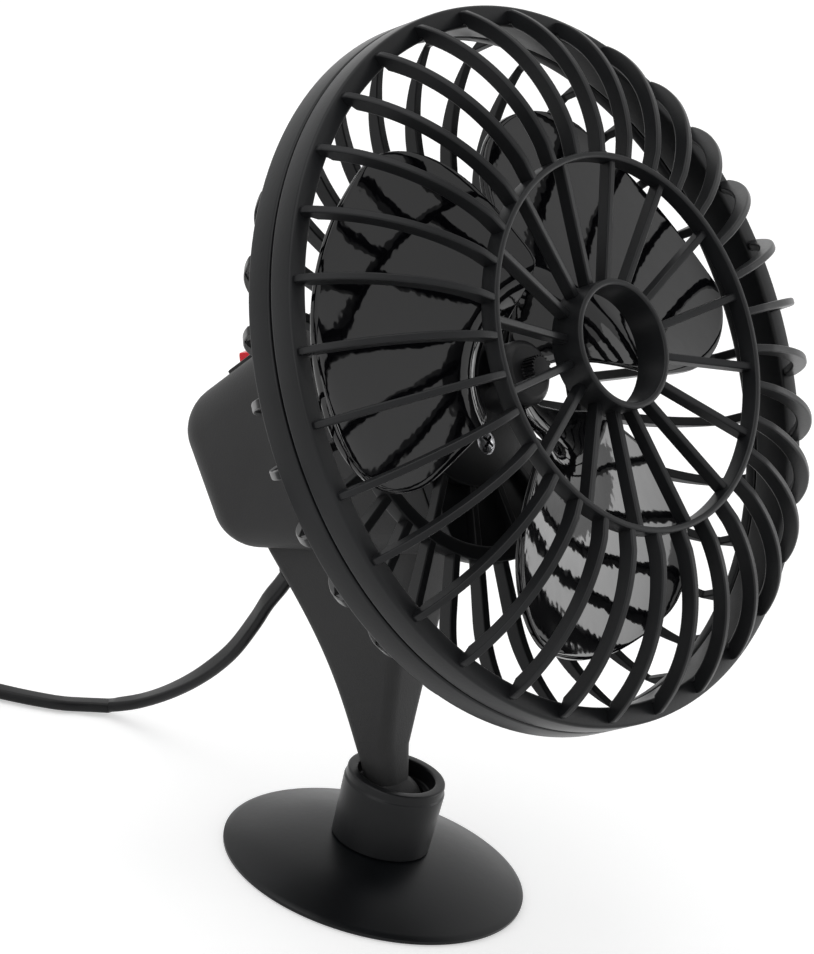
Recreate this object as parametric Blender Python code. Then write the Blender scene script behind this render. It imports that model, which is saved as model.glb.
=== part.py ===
"""A 12 V car fan on a suction cup, with a twin-flex cord and a lighter-socket plug.

Lengths are in metres. The cup stands on the floor with its axis upright, and the front faces -Y.
The head is drawn in the fan's own frame: X to its right, Y up the guard, Z forward along the shaft,
with the seam between the two guards at Z = 0.
"""

from math import asin, atan2, cos, pi, radians, sin, sqrt

import bmesh
import bpy
from mathutils import Matrix, Vector

# How the head stands in its socket, in degrees
HEAD_TILT = 36.3
HEAD_LEAN = 8.7

# Clearances and overruns
GAP = 0.0003
CHAMFER = 0.0006
OVERRUN = 0.001
SINK = 0.0005
MERGE = 0.00001

# Suction cup and its stem
CUP_RADIUS = 0.0291
CUP_LIP_HEIGHT = 0.0010
CUP_LIP_WIDTH = 0.0016
CUP_HOLLOW_HEIGHT = 0.0047
CUP_SHOULDER_HEIGHT = 0.0062
STEM_RADIUS = 0.0063
STEM_HEIGHT = 0.0034
BEAD_HEIGHT = 0.0005

# Socket collar
COLLAR_RADIUS = 0.0093
COLLAR_HEIGHT = 0.0137
COLLAR_STEP = 0.0003
COLLAR_STEP_DEPTH = 0.0020
MOUTH_RADIUS = 0.0072
MOUTH_DEPTH = 0.0032
LIP_GRIP = 0.00025

# Ball and stalk
BALL_RADIUS = 0.0063
BALL_DROP = 0.0064
BALL_RINGS = 7
NECK_RADIUS = 0.0040
NECK_TILT = 19.0
NECK_LENGTH = 0.0103
NECK_DEPTH = 0.0084
NECK_WIDTH = 0.0084
FAN_RISE = 0.0705
FAN_REACH = 0.0712
STALK_TOP_WIDTH = 0.0150
STALK_CORNER = 0.0026
STALK_BACK_INSET = 0.0062
STALK_FRONT_INSET = 0.0137
STALK_BOW = 0.0032
STALK_STEPS = 9
TONGUE_WIDTH = 0.0070
TONGUE_LENGTH = 0.0300
TONGUE_HEIGHT = 0.0012

# Guards
GUARD_RADIUS = 0.0650
RIM_WIDTH = 0.0038
FRONT_RIM_DEPTH = 0.0049
REAR_RIM_DEPTH = 0.0051
RIM_CHAMFER = 0.0007
SPIGOT_WIDTH = 0.0011
SPIGOT_DEPTH = 0.0028
RIB_COUNT = 32
RIB_THICKNESS = 0.0014
RIB_DEPTH = 0.0032
FRONT_CROWN_RADIUS = 0.0374
FRONT_CROWN_HEIGHT = 0.0225
MID_RING_RADIUS = 0.0339
MID_RING_WALL = 0.0012
MID_RING_DEPTH = 0.0036
MID_RING_FRONT = 0.0223
SPOKE_COUNT = 16
SPOKE_THICKNESS = 0.0014
SPOKE_DEPTH = 0.0027
SPOKE_OUTER_FRONT = 0.0213
SPOKE_INNER_FRONT = 0.0178
HUB_TUBE_RADIUS = 0.0116
HUB_TUBE_WALL = 0.0012
HUB_TUBE_DEPTH = 0.0067
HUB_TUBE_FRONT = 0.0206
REAR_RIB_THICKNESS = 0.0017
REAR_CROWN_RADIUS = 0.0420
REAR_CROWN_DEPTH = 0.0169
REAR_ROOT_DEPTH = 0.0070
REAR_RING_RADIUS = 0.0315
REAR_RING_WIDTH = 0.0029
REAR_RING_DEPTH = 0.0030

# Motor plate in the middle of the rear guard
PLATE_RADIUS = 0.0177
PLATE_FRONT = -0.0176
PLATE_BACK = -0.0200
FLANGE_THICKNESS = 0.0020
PLATE_BORE = 0.0034
SCREW_OFFSET = 0.0099
SCREW_HEAD_RADIUS = 0.0025
SCREW_HEAD_HEIGHT = 0.0015
SCREW_SHANK_RADIUS = 0.0010
SCREW_LENGTH = 0.0125
COUNTERBORE_DEPTH = 0.0012

# Propeller
BLADE_COUNT = 3
BLADE_THICKNESS = 0.0015
BLADE_TIP_RADIUS = 0.0520
BLADE_ROOT_RADIUS = 0.0050
BLADE_FULL_RADIUS = 0.0195
BLADE_MIDDLE_RADIUS = 0.0325
BLADE_MIDDLE_HEIGHT = -0.0073
BLADE_RISE_PER_RADIAN = 0.0062
BLADE_ROOT_RISE_PER_RADIAN = 0.0030
BLADE_START = 113.3
BLADE_LEAD = 16.0
BLADE_TRAIL = 121.0
BLADE_ROOT_LEAD = 34.0
BLADE_ROOT_TRAIL = 96.0
BLADE_SWEEP = 3.0
BLADE_TAPER = 14.0
BLADE_LEAD_CORNER = 31.0
BLADE_TRAIL_CORNER = 13.0
BLADE_DROOP_SHARE = 0.127
BLADE_CORNER_SHARE = 0.62
BLADE_SPANS = 9
BLADE_CHORDS = 7
HUB_RADIUS = 0.0060
HUB_BACK = -0.0110
HUB_FRONT = -0.0020
NOSE_RADIUS = 0.0023
NOSE_FRONT = 0.0004

# Motor
CAN_RADIUS = 0.01005
CAN_FLAT = 0.00745
CAN_WALL = 0.0008
CAN_LENGTH = 0.0200
CAN_BOSS_RADIUS = 0.0030
CAN_BOSS_HEIGHT = 0.0014
END_CAP_LENGTH = 0.0040
BUSH_RADIUS = 0.0022
SHAFT_RADIUS = 0.0010
MAGNET_THICKNESS = 0.0016
MAGNET_LENGTH = 0.0150
MAGNET_SPAN = 84.0
CORE_RADIUS = 0.0064
CORE_LENGTH = 0.0100
CORE_ARM_WIDTH = 0.0022
CORE_SHOE_THICKNESS = 0.0012
CORE_SHOE_SPAN = 96.0
WINDING_THICKNESS = 0.0009
COMMUTATOR_RADIUS = 0.0022
COMMUTATOR_LENGTH = 0.0026
BRUSH_WIDTH = 0.0016
BRUSH_THICKNESS = 0.0022
TERMINAL_WIDTH = 0.0022
TERMINAL_THICKNESS = 0.0005
TERMINAL_LENGTH = 0.0030

# Motor housing
HOUSING_WIDTH = 0.0300
HOUSING_TOP = 0.0265
HOUSING_BOTTOM = -0.0280
HOUSING_BACK = -0.0792
HOUSING_CORNER = 0.0070
HOUSING_ROUND = 0.0080
HOUSING_WALL = 0.0018
HOUSING_TOP_DRAFT = 0.0140
HOUSING_BOTTOM_DRAFT = 0.0132
HOUSING_SIDE_DRAFT = 0.0005
BOSS_RADIUS = 0.0021
BOSS_LENGTH = 0.0150
WEB_THICKNESS = 0.0016
CRADLE_THICKNESS = 0.0016
CRADLE_LENGTH = 0.0160
CRADLE_OFFSET = 0.0052

# Rocker switch on top of the housing
SWITCH_LENGTH = 0.0150
SWITCH_WIDTH = 0.0100
SWITCH_BACK = -0.0688
BEZEL_HEIGHT = 0.0010
BEZEL_BORDER = 0.0017
SWITCH_BOX_BORDER = 0.0009
SWITCH_BOX_DEPTH = 0.0090
SWITCH_WELL_DEPTH = 0.0050
ROCKER_RISE = 0.0032
ROCKER_DIP = 0.0008
ROCKER_DEPTH = 0.0016
ROCKER_ANGLE = 7.0
ROCKER_PIN_RADIUS = 0.0007
ROCKER_PIN_DROP = 0.0009
SWITCH_TAB_LENGTH = 0.0030

# Twin-flex cord: two cores side by side, wide across and thin through
CORD_WIDTH = 0.0036
CORD_THICKNESS = 0.0022
CORD_STEP = 0.0065
RELIEF_HIGH_SHARE = 0.06
RELIEF_LOW_SHARE = 0.18
RELIEF_RADIUS = 0.0027
RELIEF_TIP_RADIUS = 0.0022
RELIEF_LENGTH = 0.0040
RELIEF_DIP = 16.0
CORD_FALL = [
    (-0.0066, 0.0350, 0.0408),
    (-0.0060, 0.0376, 0.0348),
    (-0.0054, 0.0420, 0.0262),
    (-0.0049, 0.0484, 0.0178),
    (-0.0047, 0.0553, 0.0108),
    (-0.0052, 0.0618, 0.0055),
    (-0.0070, 0.0670, 0.0023),
]
CORD_SPLIT = (-0.0101, 0.0700, 0.0014)
CORD_ON_TABLE = [
    (-0.0162, 0.0736, 0.0013),
    (-0.0219, 0.0790, 0.0013),
    (-0.0290, 0.0868, 0.0016),
]

# Stored coil of the cord, wound on edge in two layers and tied
COIL_CENTRE = (-0.0640, 0.0860, 0.0)
COIL_LOOPS_PER_LAYER = 4
COIL_MEAN_RADIUS = 0.0198
COIL_PITCH = 0.0028
COIL_LAYER_RISE = 0.0043
COIL_LIFT = 0.0009
COIL_START_ANGLE = 43.0
COIL_LAST_PART_TURN = 97.0
COIL_TUCK = 0.0018
COIL_TUCK_TURN_SHARE = 0.42
LOOP_POINTS = 24
TIE_ANGLE = 292.0
TIE_WIDTH = 0.0045
TIE_THICKNESS = 0.0005
TAIL_LENGTH = 0.0270

# Lighter-socket plug
PLUG_RELIEF_LENGTH = 0.0140
PLUG_RELIEF_RADIUS = 0.0042
PLUG_RELIEF_TIP_RADIUS = 0.0026
PLUG_GRIP_RADIUS = 0.0105
PLUG_BARREL_RADIUS = 0.0098
PLUG_GRIP_LENGTH = 0.0240
PLUG_BARREL_LENGTH = 0.0150
PLUG_SHOULDER_LENGTH = 0.0040
PLUG_BORE_RADIUS = 0.0034
PLUG_BORE_DEPTH = 0.0290
PLUG_NUT_LENGTH = 0.0095
PLUG_NUT_TIP_RADIUS = 0.0062
PLUG_TIP_RADIUS = 0.0023
PLUG_TIP_REACH = 0.0040
PLUG_TIP_FLANGE = 0.0014
FUSE_RADIUS = 0.0030
FUSE_LENGTH = 0.0200
SPRING_RADIUS = 0.0026
SPRING_WALL = 0.0008
CONTACT_WIDTH = 0.0044
CONTACT_LENGTH = 0.0100
CONTACT_RISE = 0.0011
CONTACT_SEAT = 0.0012

# Segments round turned pieces
FINE = 64
SOFT = 44
ROUND = 32
COARSE = 16
TINY = 12

# Places that follow from the sizes above
COLLAR_BASE = CUP_SHOULDER_HEIGHT + GAP
COLLAR_TOP = COLLAR_BASE + COLLAR_HEIGHT
BALL_HEIGHT = COLLAR_TOP - BALL_DROP
SOCKET_RADIUS = BALL_RADIUS + GAP
STEM_TOP = CUP_SHOULDER_HEIGHT + STEM_HEIGHT
NECK_LEVEL = NECK_LENGTH * cos(radians(NECK_TILT)) - FAN_RISE
NECK_MIDDLE = NECK_LENGTH * sin(radians(NECK_TILT)) - FAN_REACH
BEAD_MIDDLE = CUP_SHOULDER_HEIGHT + STEM_HEIGHT / 2
FLANGE_BACK = PLATE_BACK - FLANGE_THICKNESS
HOUSING_FRONT = FLANGE_BACK - GAP
CAN_FRONT = HOUSING_FRONT - GAP
CAN_BACK = CAN_FRONT - CAN_LENGTH
CAP_BACK = CAN_BACK - GAP - END_CAP_LENGTH
ROTOR_MIDDLE = (CAN_FRONT + CAN_BACK) / 2
SWITCH_MIDDLE = SWITCH_BACK + SWITCH_LENGTH / 2
COIL_LOW = COIL_LIFT + CORD_WIDTH / 2
PLUG_FRONT = PLUG_RELIEF_LENGTH + PLUG_GRIP_LENGTH + PLUG_SHOULDER_LENGTH + PLUG_BARREL_LENGTH

# Base colour, roughness and metallic value of each material
COLOURS = {
    "guard_black": ((0.013, 0.014, 0.016), 0.38, 0.0),
    "housing_charcoal": ((0.028, 0.028, 0.029), 0.55, 0.0),
    "blade_black": ((0.004, 0.004, 0.005), 0.12, 0.0),
    "cup_black": ((0.010, 0.011, 0.014), 0.42, 0.0),
    "cord_black": ((0.012, 0.012, 0.012), 0.45, 0.0),
    "rocker_red": ((0.62, 0.02, 0.03), 0.30, 0.0),
    "steel": ((0.55, 0.55, 0.56), 0.35, 1.0),
    "brass": ((0.70, 0.50, 0.22), 0.35, 1.0),
    "copper": ((0.60, 0.27, 0.14), 0.40, 1.0),
    "magnet_grey": ((0.05, 0.05, 0.055), 0.70, 0.0),
    "nylon_white": ((0.75, 0.74, 0.70), 0.50, 0.0),
}


def clear_scene():
    """Start from an empty scene."""
    for item in list(bpy.data.objects):
        bpy.data.objects.remove(item)


def finish(name, colour):
    """Each piece's own material."""
    rgb, roughness, metallic = COLOURS[colour]
    made = bpy.data.materials.new(name)
    made.use_nodes = True
    shader = made.node_tree.nodes["Principled BSDF"]
    shader.inputs["Base Color"].default_value = (*rgb, 1.0)
    shader.inputs["Roughness"].default_value = roughness
    shader.inputs["Metallic"].default_value = metallic
    return made


def place(item, parent, location=(0, 0, 0), rotation=(0, 0, 0)):
    """Link an object and set it in its parent's frame."""
    bpy.context.scene.collection.objects.link(item)
    item.parent = parent
    item.location = location
    item.rotation_euler = rotation
    return item


def empty(name, parent=None, location=(0, 0, 0), rotation=(0, 0, 0)):
    """A frame that pieces hang on."""
    return place(bpy.data.objects.new(name, None), parent, location, rotation)


def piece(name, bm, colour, parent, location=(0, 0, 0), rotation=(0, 0, 0)):
    """Turn a bmesh into a named object with its faces pointing out."""
    bmesh.ops.recalc_face_normals(bm, faces=bm.faces)
    mesh = bpy.data.meshes.new(name)
    bm.to_mesh(mesh)
    bm.free()
    mesh.shade_smooth()
    mesh.set_sharp_from_angle(angle=radians(35))
    mesh.materials.append(finish(name, colour))
    return place(bpy.data.objects.new(name, mesh), parent, location, rotation)


def combine(target, operation, name, bm):
    """Join a hidden tool to a piece or cut it out."""
    tool = piece(name, bm, "steel", target.parent, target.location, target.rotation_euler)
    tool.hide_render = True
    tool.display_type = "WIRE"
    step = target.modifiers.new(name, "BOOLEAN")
    step.operation = operation
    step.object = tool
    step.solver = "EXACT"
    return step


def turned(profile, steps, closed=True, bm=None):
    """Turn a profile of (radius, height) points about Z. A closed profile makes a ring."""
    bm = bm or bmesh.new()
    points = [bm.verts.new((r, 0, z)) for r, z in profile]
    pairs = list(zip(points, points[1:]))
    if closed:
        pairs.append((points[-1], points[0]))
    edges = [bm.edges.new(pair) for pair in pairs]
    bmesh.ops.spin(bm, geom=points + edges, cent=(0, 0, 0), axis=(0, 0, 1), angle=2 * pi, steps=steps)
    bmesh.ops.remove_doubles(bm, verts=bm.verts, dist=MERGE)
    return bm


def extruded(outline, bottom, top, bm=None, pose=None):
    """A prism on an (x, y) outline from bottom to top along Z, moved by the matrix pose."""
    bm = bm or bmesh.new()
    base = [bm.verts.new((x, y, bottom)) for x, y in outline]
    grown = bmesh.ops.extrude_face_region(bm, geom=[bm.faces.new(base)])["geom"]
    raised = [item for item in grown if isinstance(item, bmesh.types.BMVert)]
    bmesh.ops.translate(bm, verts=raised, vec=(0, 0, top - bottom))
    if pose is not None:
        bmesh.ops.transform(bm, matrix=pose, verts=base + raised)
    return bm


def lofted(rings, bm=None):
    """Skin a run of rings that have the same number of points, and cap both ends."""
    bm = bm or bmesh.new()
    rows = [[bm.verts.new(point) for point in ring] for ring in rings]
    count = len(rows[0])
    for low, high in zip(rows, rows[1:]):
        for i in range(count):
            after = (i + 1) % count
            bm.faces.new((low[i], low[after], high[after], high[i]))
    bm.faces.new(rows[0])
    bm.faces.new(rows[-1])
    return bm


def block(low, high, bm=None):
    """A plain block between two corners."""
    outline = [(low[0], low[1]), (high[0], low[1]), (high[0], high[1]), (low[0], high[1])]
    return extruded(outline, low[2], high[2], bm)


def rounded_box(half_width, bottom, top, radius, per_corner=5):
    """The (x, y) outline of a rectangle with round corners, anticlockwise from the right."""
    corners = [
        (half_width - radius, top - radius, 0),
        (-half_width + radius, top - radius, 90),
        (-half_width + radius, bottom + radius, 180),
        (half_width - radius, bottom + radius, 270),
    ]
    made = []
    for x, y, start in corners:
        for i in range(per_corner):
            turn = radians(start + 90 * i / (per_corner - 1))
            made.append((x + radius * cos(turn), y + radius * sin(turn)))
    return made


def circle(radius, count, centre=(0, 0)):
    """Points round a circle in (x, y)."""
    turns = [2 * pi * i / count for i in range(count)]
    return [(centre[0] + radius * cos(t), centre[1] + radius * sin(t)) for t in turns]


def crown_arc(end_radius, end_height, crown_radius, crown_height, steps):
    """The arc that runs level over the crown, from the end point up to it."""
    drop = crown_height - end_height
    reach = end_radius - crown_radius
    bend = (reach**2 + drop**2) / (2 * drop)
    span = atan2(reach, bend - drop)
    turns = [span * (1 - i / steps) for i in range(steps + 1)]
    return [(crown_radius + bend * sin(t), crown_height - bend * (1 - cos(t))) for t in turns]


def fin(bm, outline, thickness, angle=0.0, middle=0.0):
    """A flat fin along the Z axis, drawn in (radius, height), turned by an angle from up."""
    flat = Matrix(((0, 0, 1, middle), (1, 0, 0, 0), (0, 1, 0, 0), (0, 0, 0, 1)))
    turn = Matrix.Rotation(-angle, 4, "Z")
    return extruded(outline, -thickness / 2, thickness / 2, bm, turn @ flat)


def suction_cup(parent):
    """Soft cup with a seal lip, a hollow under it, and a dished stem with a snap bead."""
    span = CUP_RADIUS - COLLAR_RADIUS
    rise = CUP_SHOULDER_HEIGHT - CUP_LIP_HEIGHT
    top = []
    for i in range(6):
        share = i / 5
        top.append((CUP_RADIUS - span * share, CUP_LIP_HEIGHT + rise * sin(share * pi / 2)))
    stem = [
        (STEM_RADIUS, CUP_SHOULDER_HEIGHT),
        (STEM_RADIUS, BEAD_MIDDLE - BEAD_HEIGHT),
        (STEM_RADIUS + BEAD_HEIGHT, BEAD_MIDDLE),
        (STEM_RADIUS, BEAD_MIDDLE + BEAD_HEIGHT),
        (STEM_RADIUS, STEM_TOP),
    ]
    dish_turn = asin(sqrt(SOCKET_RADIUS**2 - (BALL_HEIGHT - STEM_TOP) ** 2) / SOCKET_RADIUS)
    dish = []
    for i in range(4):
        turn = dish_turn * (1 - i / 3)
        dish.append((SOCKET_RADIUS * sin(turn), BALL_HEIGHT - SOCKET_RADIUS * cos(turn)))
    inner = CUP_RADIUS - CUP_LIP_WIDTH
    hollow = []
    for i in range(5):
        share = i / 4
        hollow.append((inner * share, CUP_HOLLOW_HEIGHT * cos(share * pi / 2)))
    profile = hollow + [(CUP_RADIUS, 0)] + top + stem + dish
    piece("suction_cup", turned(profile, SOFT, closed=False), "cup_black", parent)


def socket_collar(parent):
    """Collar that turns on the stem, grips the ball under a lip and has an open mouth."""
    lip_radius = BALL_RADIUS - LIP_GRIP
    mouth_bottom = COLLAR_TOP - MOUTH_DEPTH
    step = COLLAR_TOP - COLLAR_STEP_DEPTH
    lip_turn = asin(lip_radius / SOCKET_RADIUS)
    cavity = []
    for i in range(4):
        turn = lip_turn + (pi / 2 - lip_turn) * i / 3
        cavity.append((SOCKET_RADIUS * sin(turn), BALL_HEIGHT + SOCKET_RADIUS * cos(turn)))
    profile = [
        (COLLAR_RADIUS, COLLAR_BASE),
        (COLLAR_RADIUS, step),
        (COLLAR_RADIUS - COLLAR_STEP, step + COLLAR_STEP),
        (COLLAR_RADIUS - COLLAR_STEP, COLLAR_TOP - CHAMFER),
        (COLLAR_RADIUS - COLLAR_STEP - CHAMFER, COLLAR_TOP),
        (MOUTH_RADIUS + CHAMFER / 2, COLLAR_TOP),
        (MOUTH_RADIUS, COLLAR_TOP - CHAMFER),
        (MOUTH_RADIUS, mouth_bottom),
        (lip_radius, mouth_bottom),
        *cavity,
        (SOCKET_RADIUS, BEAD_MIDDLE + BEAD_HEIGHT),
        (SOCKET_RADIUS + BEAD_HEIGHT, BEAD_MIDDLE),
        (SOCKET_RADIUS, BEAD_MIDDLE - BEAD_HEIGHT),
        (SOCKET_RADIUS, COLLAR_BASE),
    ]
    piece("socket_collar", turned(profile, ROUND), "guard_black", parent)


def stalk_edge(down_share, side):
    """Depth of the stalk's front edge, side 1, or of its bowed back edge, side -1."""
    if side > 0:
        top, bow = HOUSING_FRONT - STALK_FRONT_INSET, 0
    else:
        top, bow = HOUSING_BACK + STALK_BACK_INSET, STALK_BOW
    neck = NECK_MIDDLE + side * NECK_DEPTH / 2
    return top + (neck - top) * down_share + bow * sin(pi * down_share)


def stalk_level(depth, down_share):
    """Height on the stalk at a depth. Its sections turn level from the sloping housing to the neck."""
    top = housing_edge(depth, -1) - GAP
    return top + (NECK_LEVEL - top) * down_share


def stalk(parent):
    """Gusset under the housing that narrows to a neck with the ball on its end."""
    ball = Vector((0, -FAN_RISE, -FAN_REACH))
    tilt = radians(NECK_TILT)
    along = Vector((0, cos(tilt), sin(tilt)))
    across = Vector((0, -sin(tilt), cos(tilt)))
    rings = []
    for i in range(STALK_STEPS + 1):
        share = i / STALK_STEPS
        width = STALK_TOP_WIDTH + (NECK_WIDTH - STALK_TOP_WIDTH) * share * (3 - share) / 2
        outline = rounded_box(width / 2, stalk_edge(share, -1), stalk_edge(share, 1), STALK_CORNER)
        rings.append([(x, stalk_level(z, share), z) for x, z in outline])
    turns = [atan2(z - NECK_MIDDLE, x) for x, _, z in rings[-1]]
    meet = asin(NECK_RADIUS / BALL_RADIUS)
    for i in range(BALL_RINGS):
        polar = meet + (pi - meet) * i / BALL_RINGS
        centre = ball + along * BALL_RADIUS * cos(polar)
        radius = BALL_RADIUS * sin(polar)
        rings.append([centre + (Vector((cos(t), 0, 0)) + across * sin(t)) * radius for t in turns])
    body = piece("stalk", lofted(rings), "housing_charcoal", parent)
    combine(body, "UNION", "tongue_tool", tongue(TONGUE_WIDTH, TONGUE_LENGTH, TONGUE_HEIGHT - GAP))


def tongue(width, length, height):
    """A bar along the housing's bottom, from under it up to a height within its wall."""
    middle = (stalk_edge(0, -1) + stalk_edge(0, 1)) / 2
    back, front = middle - length / 2, middle + length / 2
    under = [(housing_edge(z, -1) - OVERRUN, z) for z in (back, front)]
    over = [(housing_edge(z, -1) + height, z) for z in (front, back)]
    return fin(bmesh.new(), under + over, width)


def housing_edge(z, side):
    """Height of the housing's top, side 1, or of its bottom, side -1, at depth z."""
    share = (HOUSING_FRONT - z) / (HOUSING_FRONT - HOUSING_BACK)
    if side > 0:
        return HOUSING_TOP - HOUSING_TOP_DRAFT * share
    return HOUSING_BOTTOM + HOUSING_BOTTOM_DRAFT * share


def housing_section(z, inset):
    """Outline of the housing at depth z, drawn in by inset. It tapers towards its back."""
    share = (HOUSING_FRONT - z) / (HOUSING_FRONT - HOUSING_BACK)
    half = HOUSING_WIDTH / 2 - HOUSING_SIDE_DRAFT * share - inset
    bottom, top = housing_edge(z, -1) + inset, housing_edge(z, 1) - inset
    radius = max(HOUSING_CORNER - inset, CHAMFER)
    return [(x, y, z) for x, y in rounded_box(half, bottom, top, radius)]


def housing_shell(parent):
    """The hollow box itself, open at the front, with a rounded back."""
    flat_end = HOUSING_BACK + HOUSING_ROUND
    outer = [housing_section(HOUSING_FRONT, 0)]
    for i in range(5):
        turn = pi / 2 * i / 4
        inset = HOUSING_ROUND * (1 - cos(turn))
        outer.append(housing_section(flat_end - HOUSING_ROUND * sin(turn), inset))
    inner = [housing_section(HOUSING_FRONT, HOUSING_WALL)]
    inner_round = HOUSING_ROUND - HOUSING_WALL
    for i in range(3):
        turn = pi / 2 * i / 2
        inset = HOUSING_WALL + inner_round * (1 - cos(turn))
        inner.append(housing_section(flat_end - inner_round * sin(turn), inset))
    return piece("motor_housing", lofted(outer[::-1] + inner), "housing_charcoal", parent)


def web(bm, side, foot, back, front, thickness, middle=0.0):
    """A web from a height inside the housing out to the middle of its top or bottom wall."""
    outline = [(side * foot, back), (side * foot, front)]
    outline += [(housing_edge(z, side) - side * HOUSING_WALL / 2, z) for z in (front, back)]
    fin(bm, outline, thickness, middle=middle)


def motor_housing(parent):
    """The shell with its screw bosses, motor cradle, tongue slot and switch window."""
    body = housing_shell(parent)
    boss_back = HOUSING_FRONT - BOSS_LENGTH
    fittings = bmesh.new()
    for side in (1, -1):
        boss = circle(BOSS_RADIUS, COARSE, (0, side * SCREW_OFFSET))
        extruded(boss, boss_back, HOUSING_FRONT, fittings)
        web(fittings, side, SCREW_OFFSET, boss_back + CHAMFER, HOUSING_FRONT - CHAMFER, WEB_THICKNESS)
        for middle in (-CRADLE_OFFSET, CRADLE_OFFSET):
            cradle_front = CAN_BACK + CRADLE_LENGTH
            web(fittings, side, CAN_FLAT + GAP, CAN_BACK, cradle_front, CRADLE_THICKNESS, middle)
    combine(body, "UNION", "housing_fittings_tool", fittings).use_self = True

    openings = bmesh.new()
    for side in (1, -1):
        hole = circle(SCREW_SHANK_RADIUS + GAP, TINY, (0, side * SCREW_OFFSET))
        extruded(hole, boss_back - OVERRUN, HOUSING_FRONT + OVERRUN, openings)
    half = SWITCH_WIDTH / 2 - SWITCH_BOX_BORDER + GAP
    reach = SWITCH_LENGTH / 2 - SWITCH_BOX_BORDER + GAP
    window = [(-half, -reach), (half, -reach), (half, reach), (-half, reach)]
    place_in, tilt = switch_seat()
    stand = Matrix.Translation(place_in) @ Matrix.Rotation(tilt, 4, "X")
    extruded(window, -HOUSING_WALL - OVERRUN, OVERRUN, openings, stand)
    combine(body, "DIFFERENCE", "housing_openings_tool", openings)
    slot = tongue(TONGUE_WIDTH + 2 * GAP, TONGUE_LENGTH + 2 * GAP, TONGUE_HEIGHT)
    combine(body, "DIFFERENCE", "tongue_slot_tool", slot)


def rear_rib_outline():
    """A rear rib from its foot in the rim over the crown to the ring, in (radius, height)."""
    foot_top = -GAP - REAR_RIM_DEPTH + SINK
    foot_inner = GUARD_RADIUS - RIM_WIDTH + SINK
    back_crown = REAR_CROWN_DEPTH + REAR_RING_DEPTH
    outer = crown_arc(GUARD_RADIUS, REAR_ROOT_DEPTH, REAR_CROWN_RADIUS, back_crown, 5)
    inner = crown_arc(GUARD_RADIUS, REAR_ROOT_DEPTH - SINK, REAR_CROWN_RADIUS, REAR_CROWN_DEPTH, 6)
    inner = [point for point in inner if point[0] < foot_inner]
    ring_middle = REAR_RING_RADIUS - REAR_RING_WIDTH / 2
    outline = [(foot_inner, foot_top), (GUARD_RADIUS - RIM_CHAMFER, foot_top)]
    outline += [(r, -h) for r, h in outer]
    outline += [(ring_middle, -back_crown + CHAMFER / 2), (ring_middle, -REAR_CROWN_DEPTH - CHAMFER / 2)]
    outline += [(r, -h) for r, h in inner[::-1]]
    return outline


def rear_guard(parent):
    """Bowl of radial ribs on a rim, with a ring, the motor plate and the housing's flange."""
    rim_front = -GAP
    rim_back = rim_front - REAR_RIM_DEPTH
    ledge = GUARD_RADIUS - RIM_WIDTH
    rebate = ledge + SPIGOT_WIDTH + GAP
    rim = [
        (rebate, rim_front),
        (GUARD_RADIUS, rim_front),
        (GUARD_RADIUS, rim_back + RIM_CHAMFER),
        (GUARD_RADIUS - RIM_CHAMFER, rim_back),
        (ledge, rim_back),
        (ledge, -SPIGOT_DEPTH - GAP),
        (rebate, -SPIGOT_DEPTH - GAP),
    ]
    ring_back = -REAR_CROWN_DEPTH - REAR_RING_DEPTH
    ring_inner = REAR_RING_RADIUS - REAR_RING_WIDTH
    ring = [
        (ring_inner, ring_back),
        (REAR_RING_RADIUS, ring_back),
        (REAR_RING_RADIUS, -REAR_CROWN_DEPTH),
        (ring_inner, -REAR_CROWN_DEPTH),
    ]
    plate_back = PLATE_BACK - SINK
    plate = [
        (PLATE_BORE, plate_back),
        (PLATE_RADIUS, plate_back),
        (PLATE_RADIUS, PLATE_FRONT),
        (PLATE_BORE, PLATE_FRONT),
    ]
    body = turned(rim, FINE)
    turned(ring, FINE, bm=body)
    turned(plate, ROUND, bm=body)
    guard = piece("rear_guard", body, "guard_black", parent)

    ribs = bmesh.new()
    outline = rear_rib_outline()
    ring_middle = REAR_RING_RADIUS - REAR_RING_WIDTH / 2
    plate_edge = PLATE_RADIUS - SINK
    arm_front = -REAR_CROWN_DEPTH - SINK
    arm = [
        (plate_edge, PLATE_BACK),
        (ring_middle, PLATE_BACK + CHAMFER / 2),
        (ring_middle, arm_front),
        (plate_edge, arm_front - SINK),
    ]
    for i in range(RIB_COUNT):
        angle = 2 * pi * i / RIB_COUNT
        fin(ribs, outline, REAR_RIB_THICKNESS, angle)
    arms = bmesh.new()
    for i in range(0, RIB_COUNT, 2):
        fin(arms, arm, REAR_RIB_THICKNESS - CHAMFER / 2, 2 * pi * i / RIB_COUNT)
    combine(guard, "UNION", "rear_ribs_tool", ribs)
    combine(guard, "UNION", "rear_arms_tool", arms)
    flange = [(x, y) for x, y, _ in housing_section(HOUSING_FRONT, 0)]
    combine(guard, "UNION", "rear_flange_tool", extruded(flange, FLANGE_BACK, PLATE_BACK + SINK))

    holes = bmesh.new()
    floor = PLATE_FRONT - COUNTERBORE_DEPTH
    for side in (1, -1):
        centre = (0, side * SCREW_OFFSET)
        extruded(circle(SCREW_HEAD_RADIUS + GAP, COARSE, centre), floor, PLATE_FRONT + OVERRUN, holes)
    combine(guard, "DIFFERENCE", "counterbore_tool", holes)
    bores = extruded(circle(PLATE_BORE, COARSE), FLANGE_BACK - OVERRUN, PLATE_FRONT)
    for side in (1, -1):
        centre = (0, side * SCREW_OFFSET)
        extruded(circle(SCREW_SHANK_RADIUS + GAP, TINY, centre), FLANGE_BACK - OVERRUN, PLATE_FRONT, bores)
    combine(guard, "DIFFERENCE", "plate_bore_tool", bores)


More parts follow.
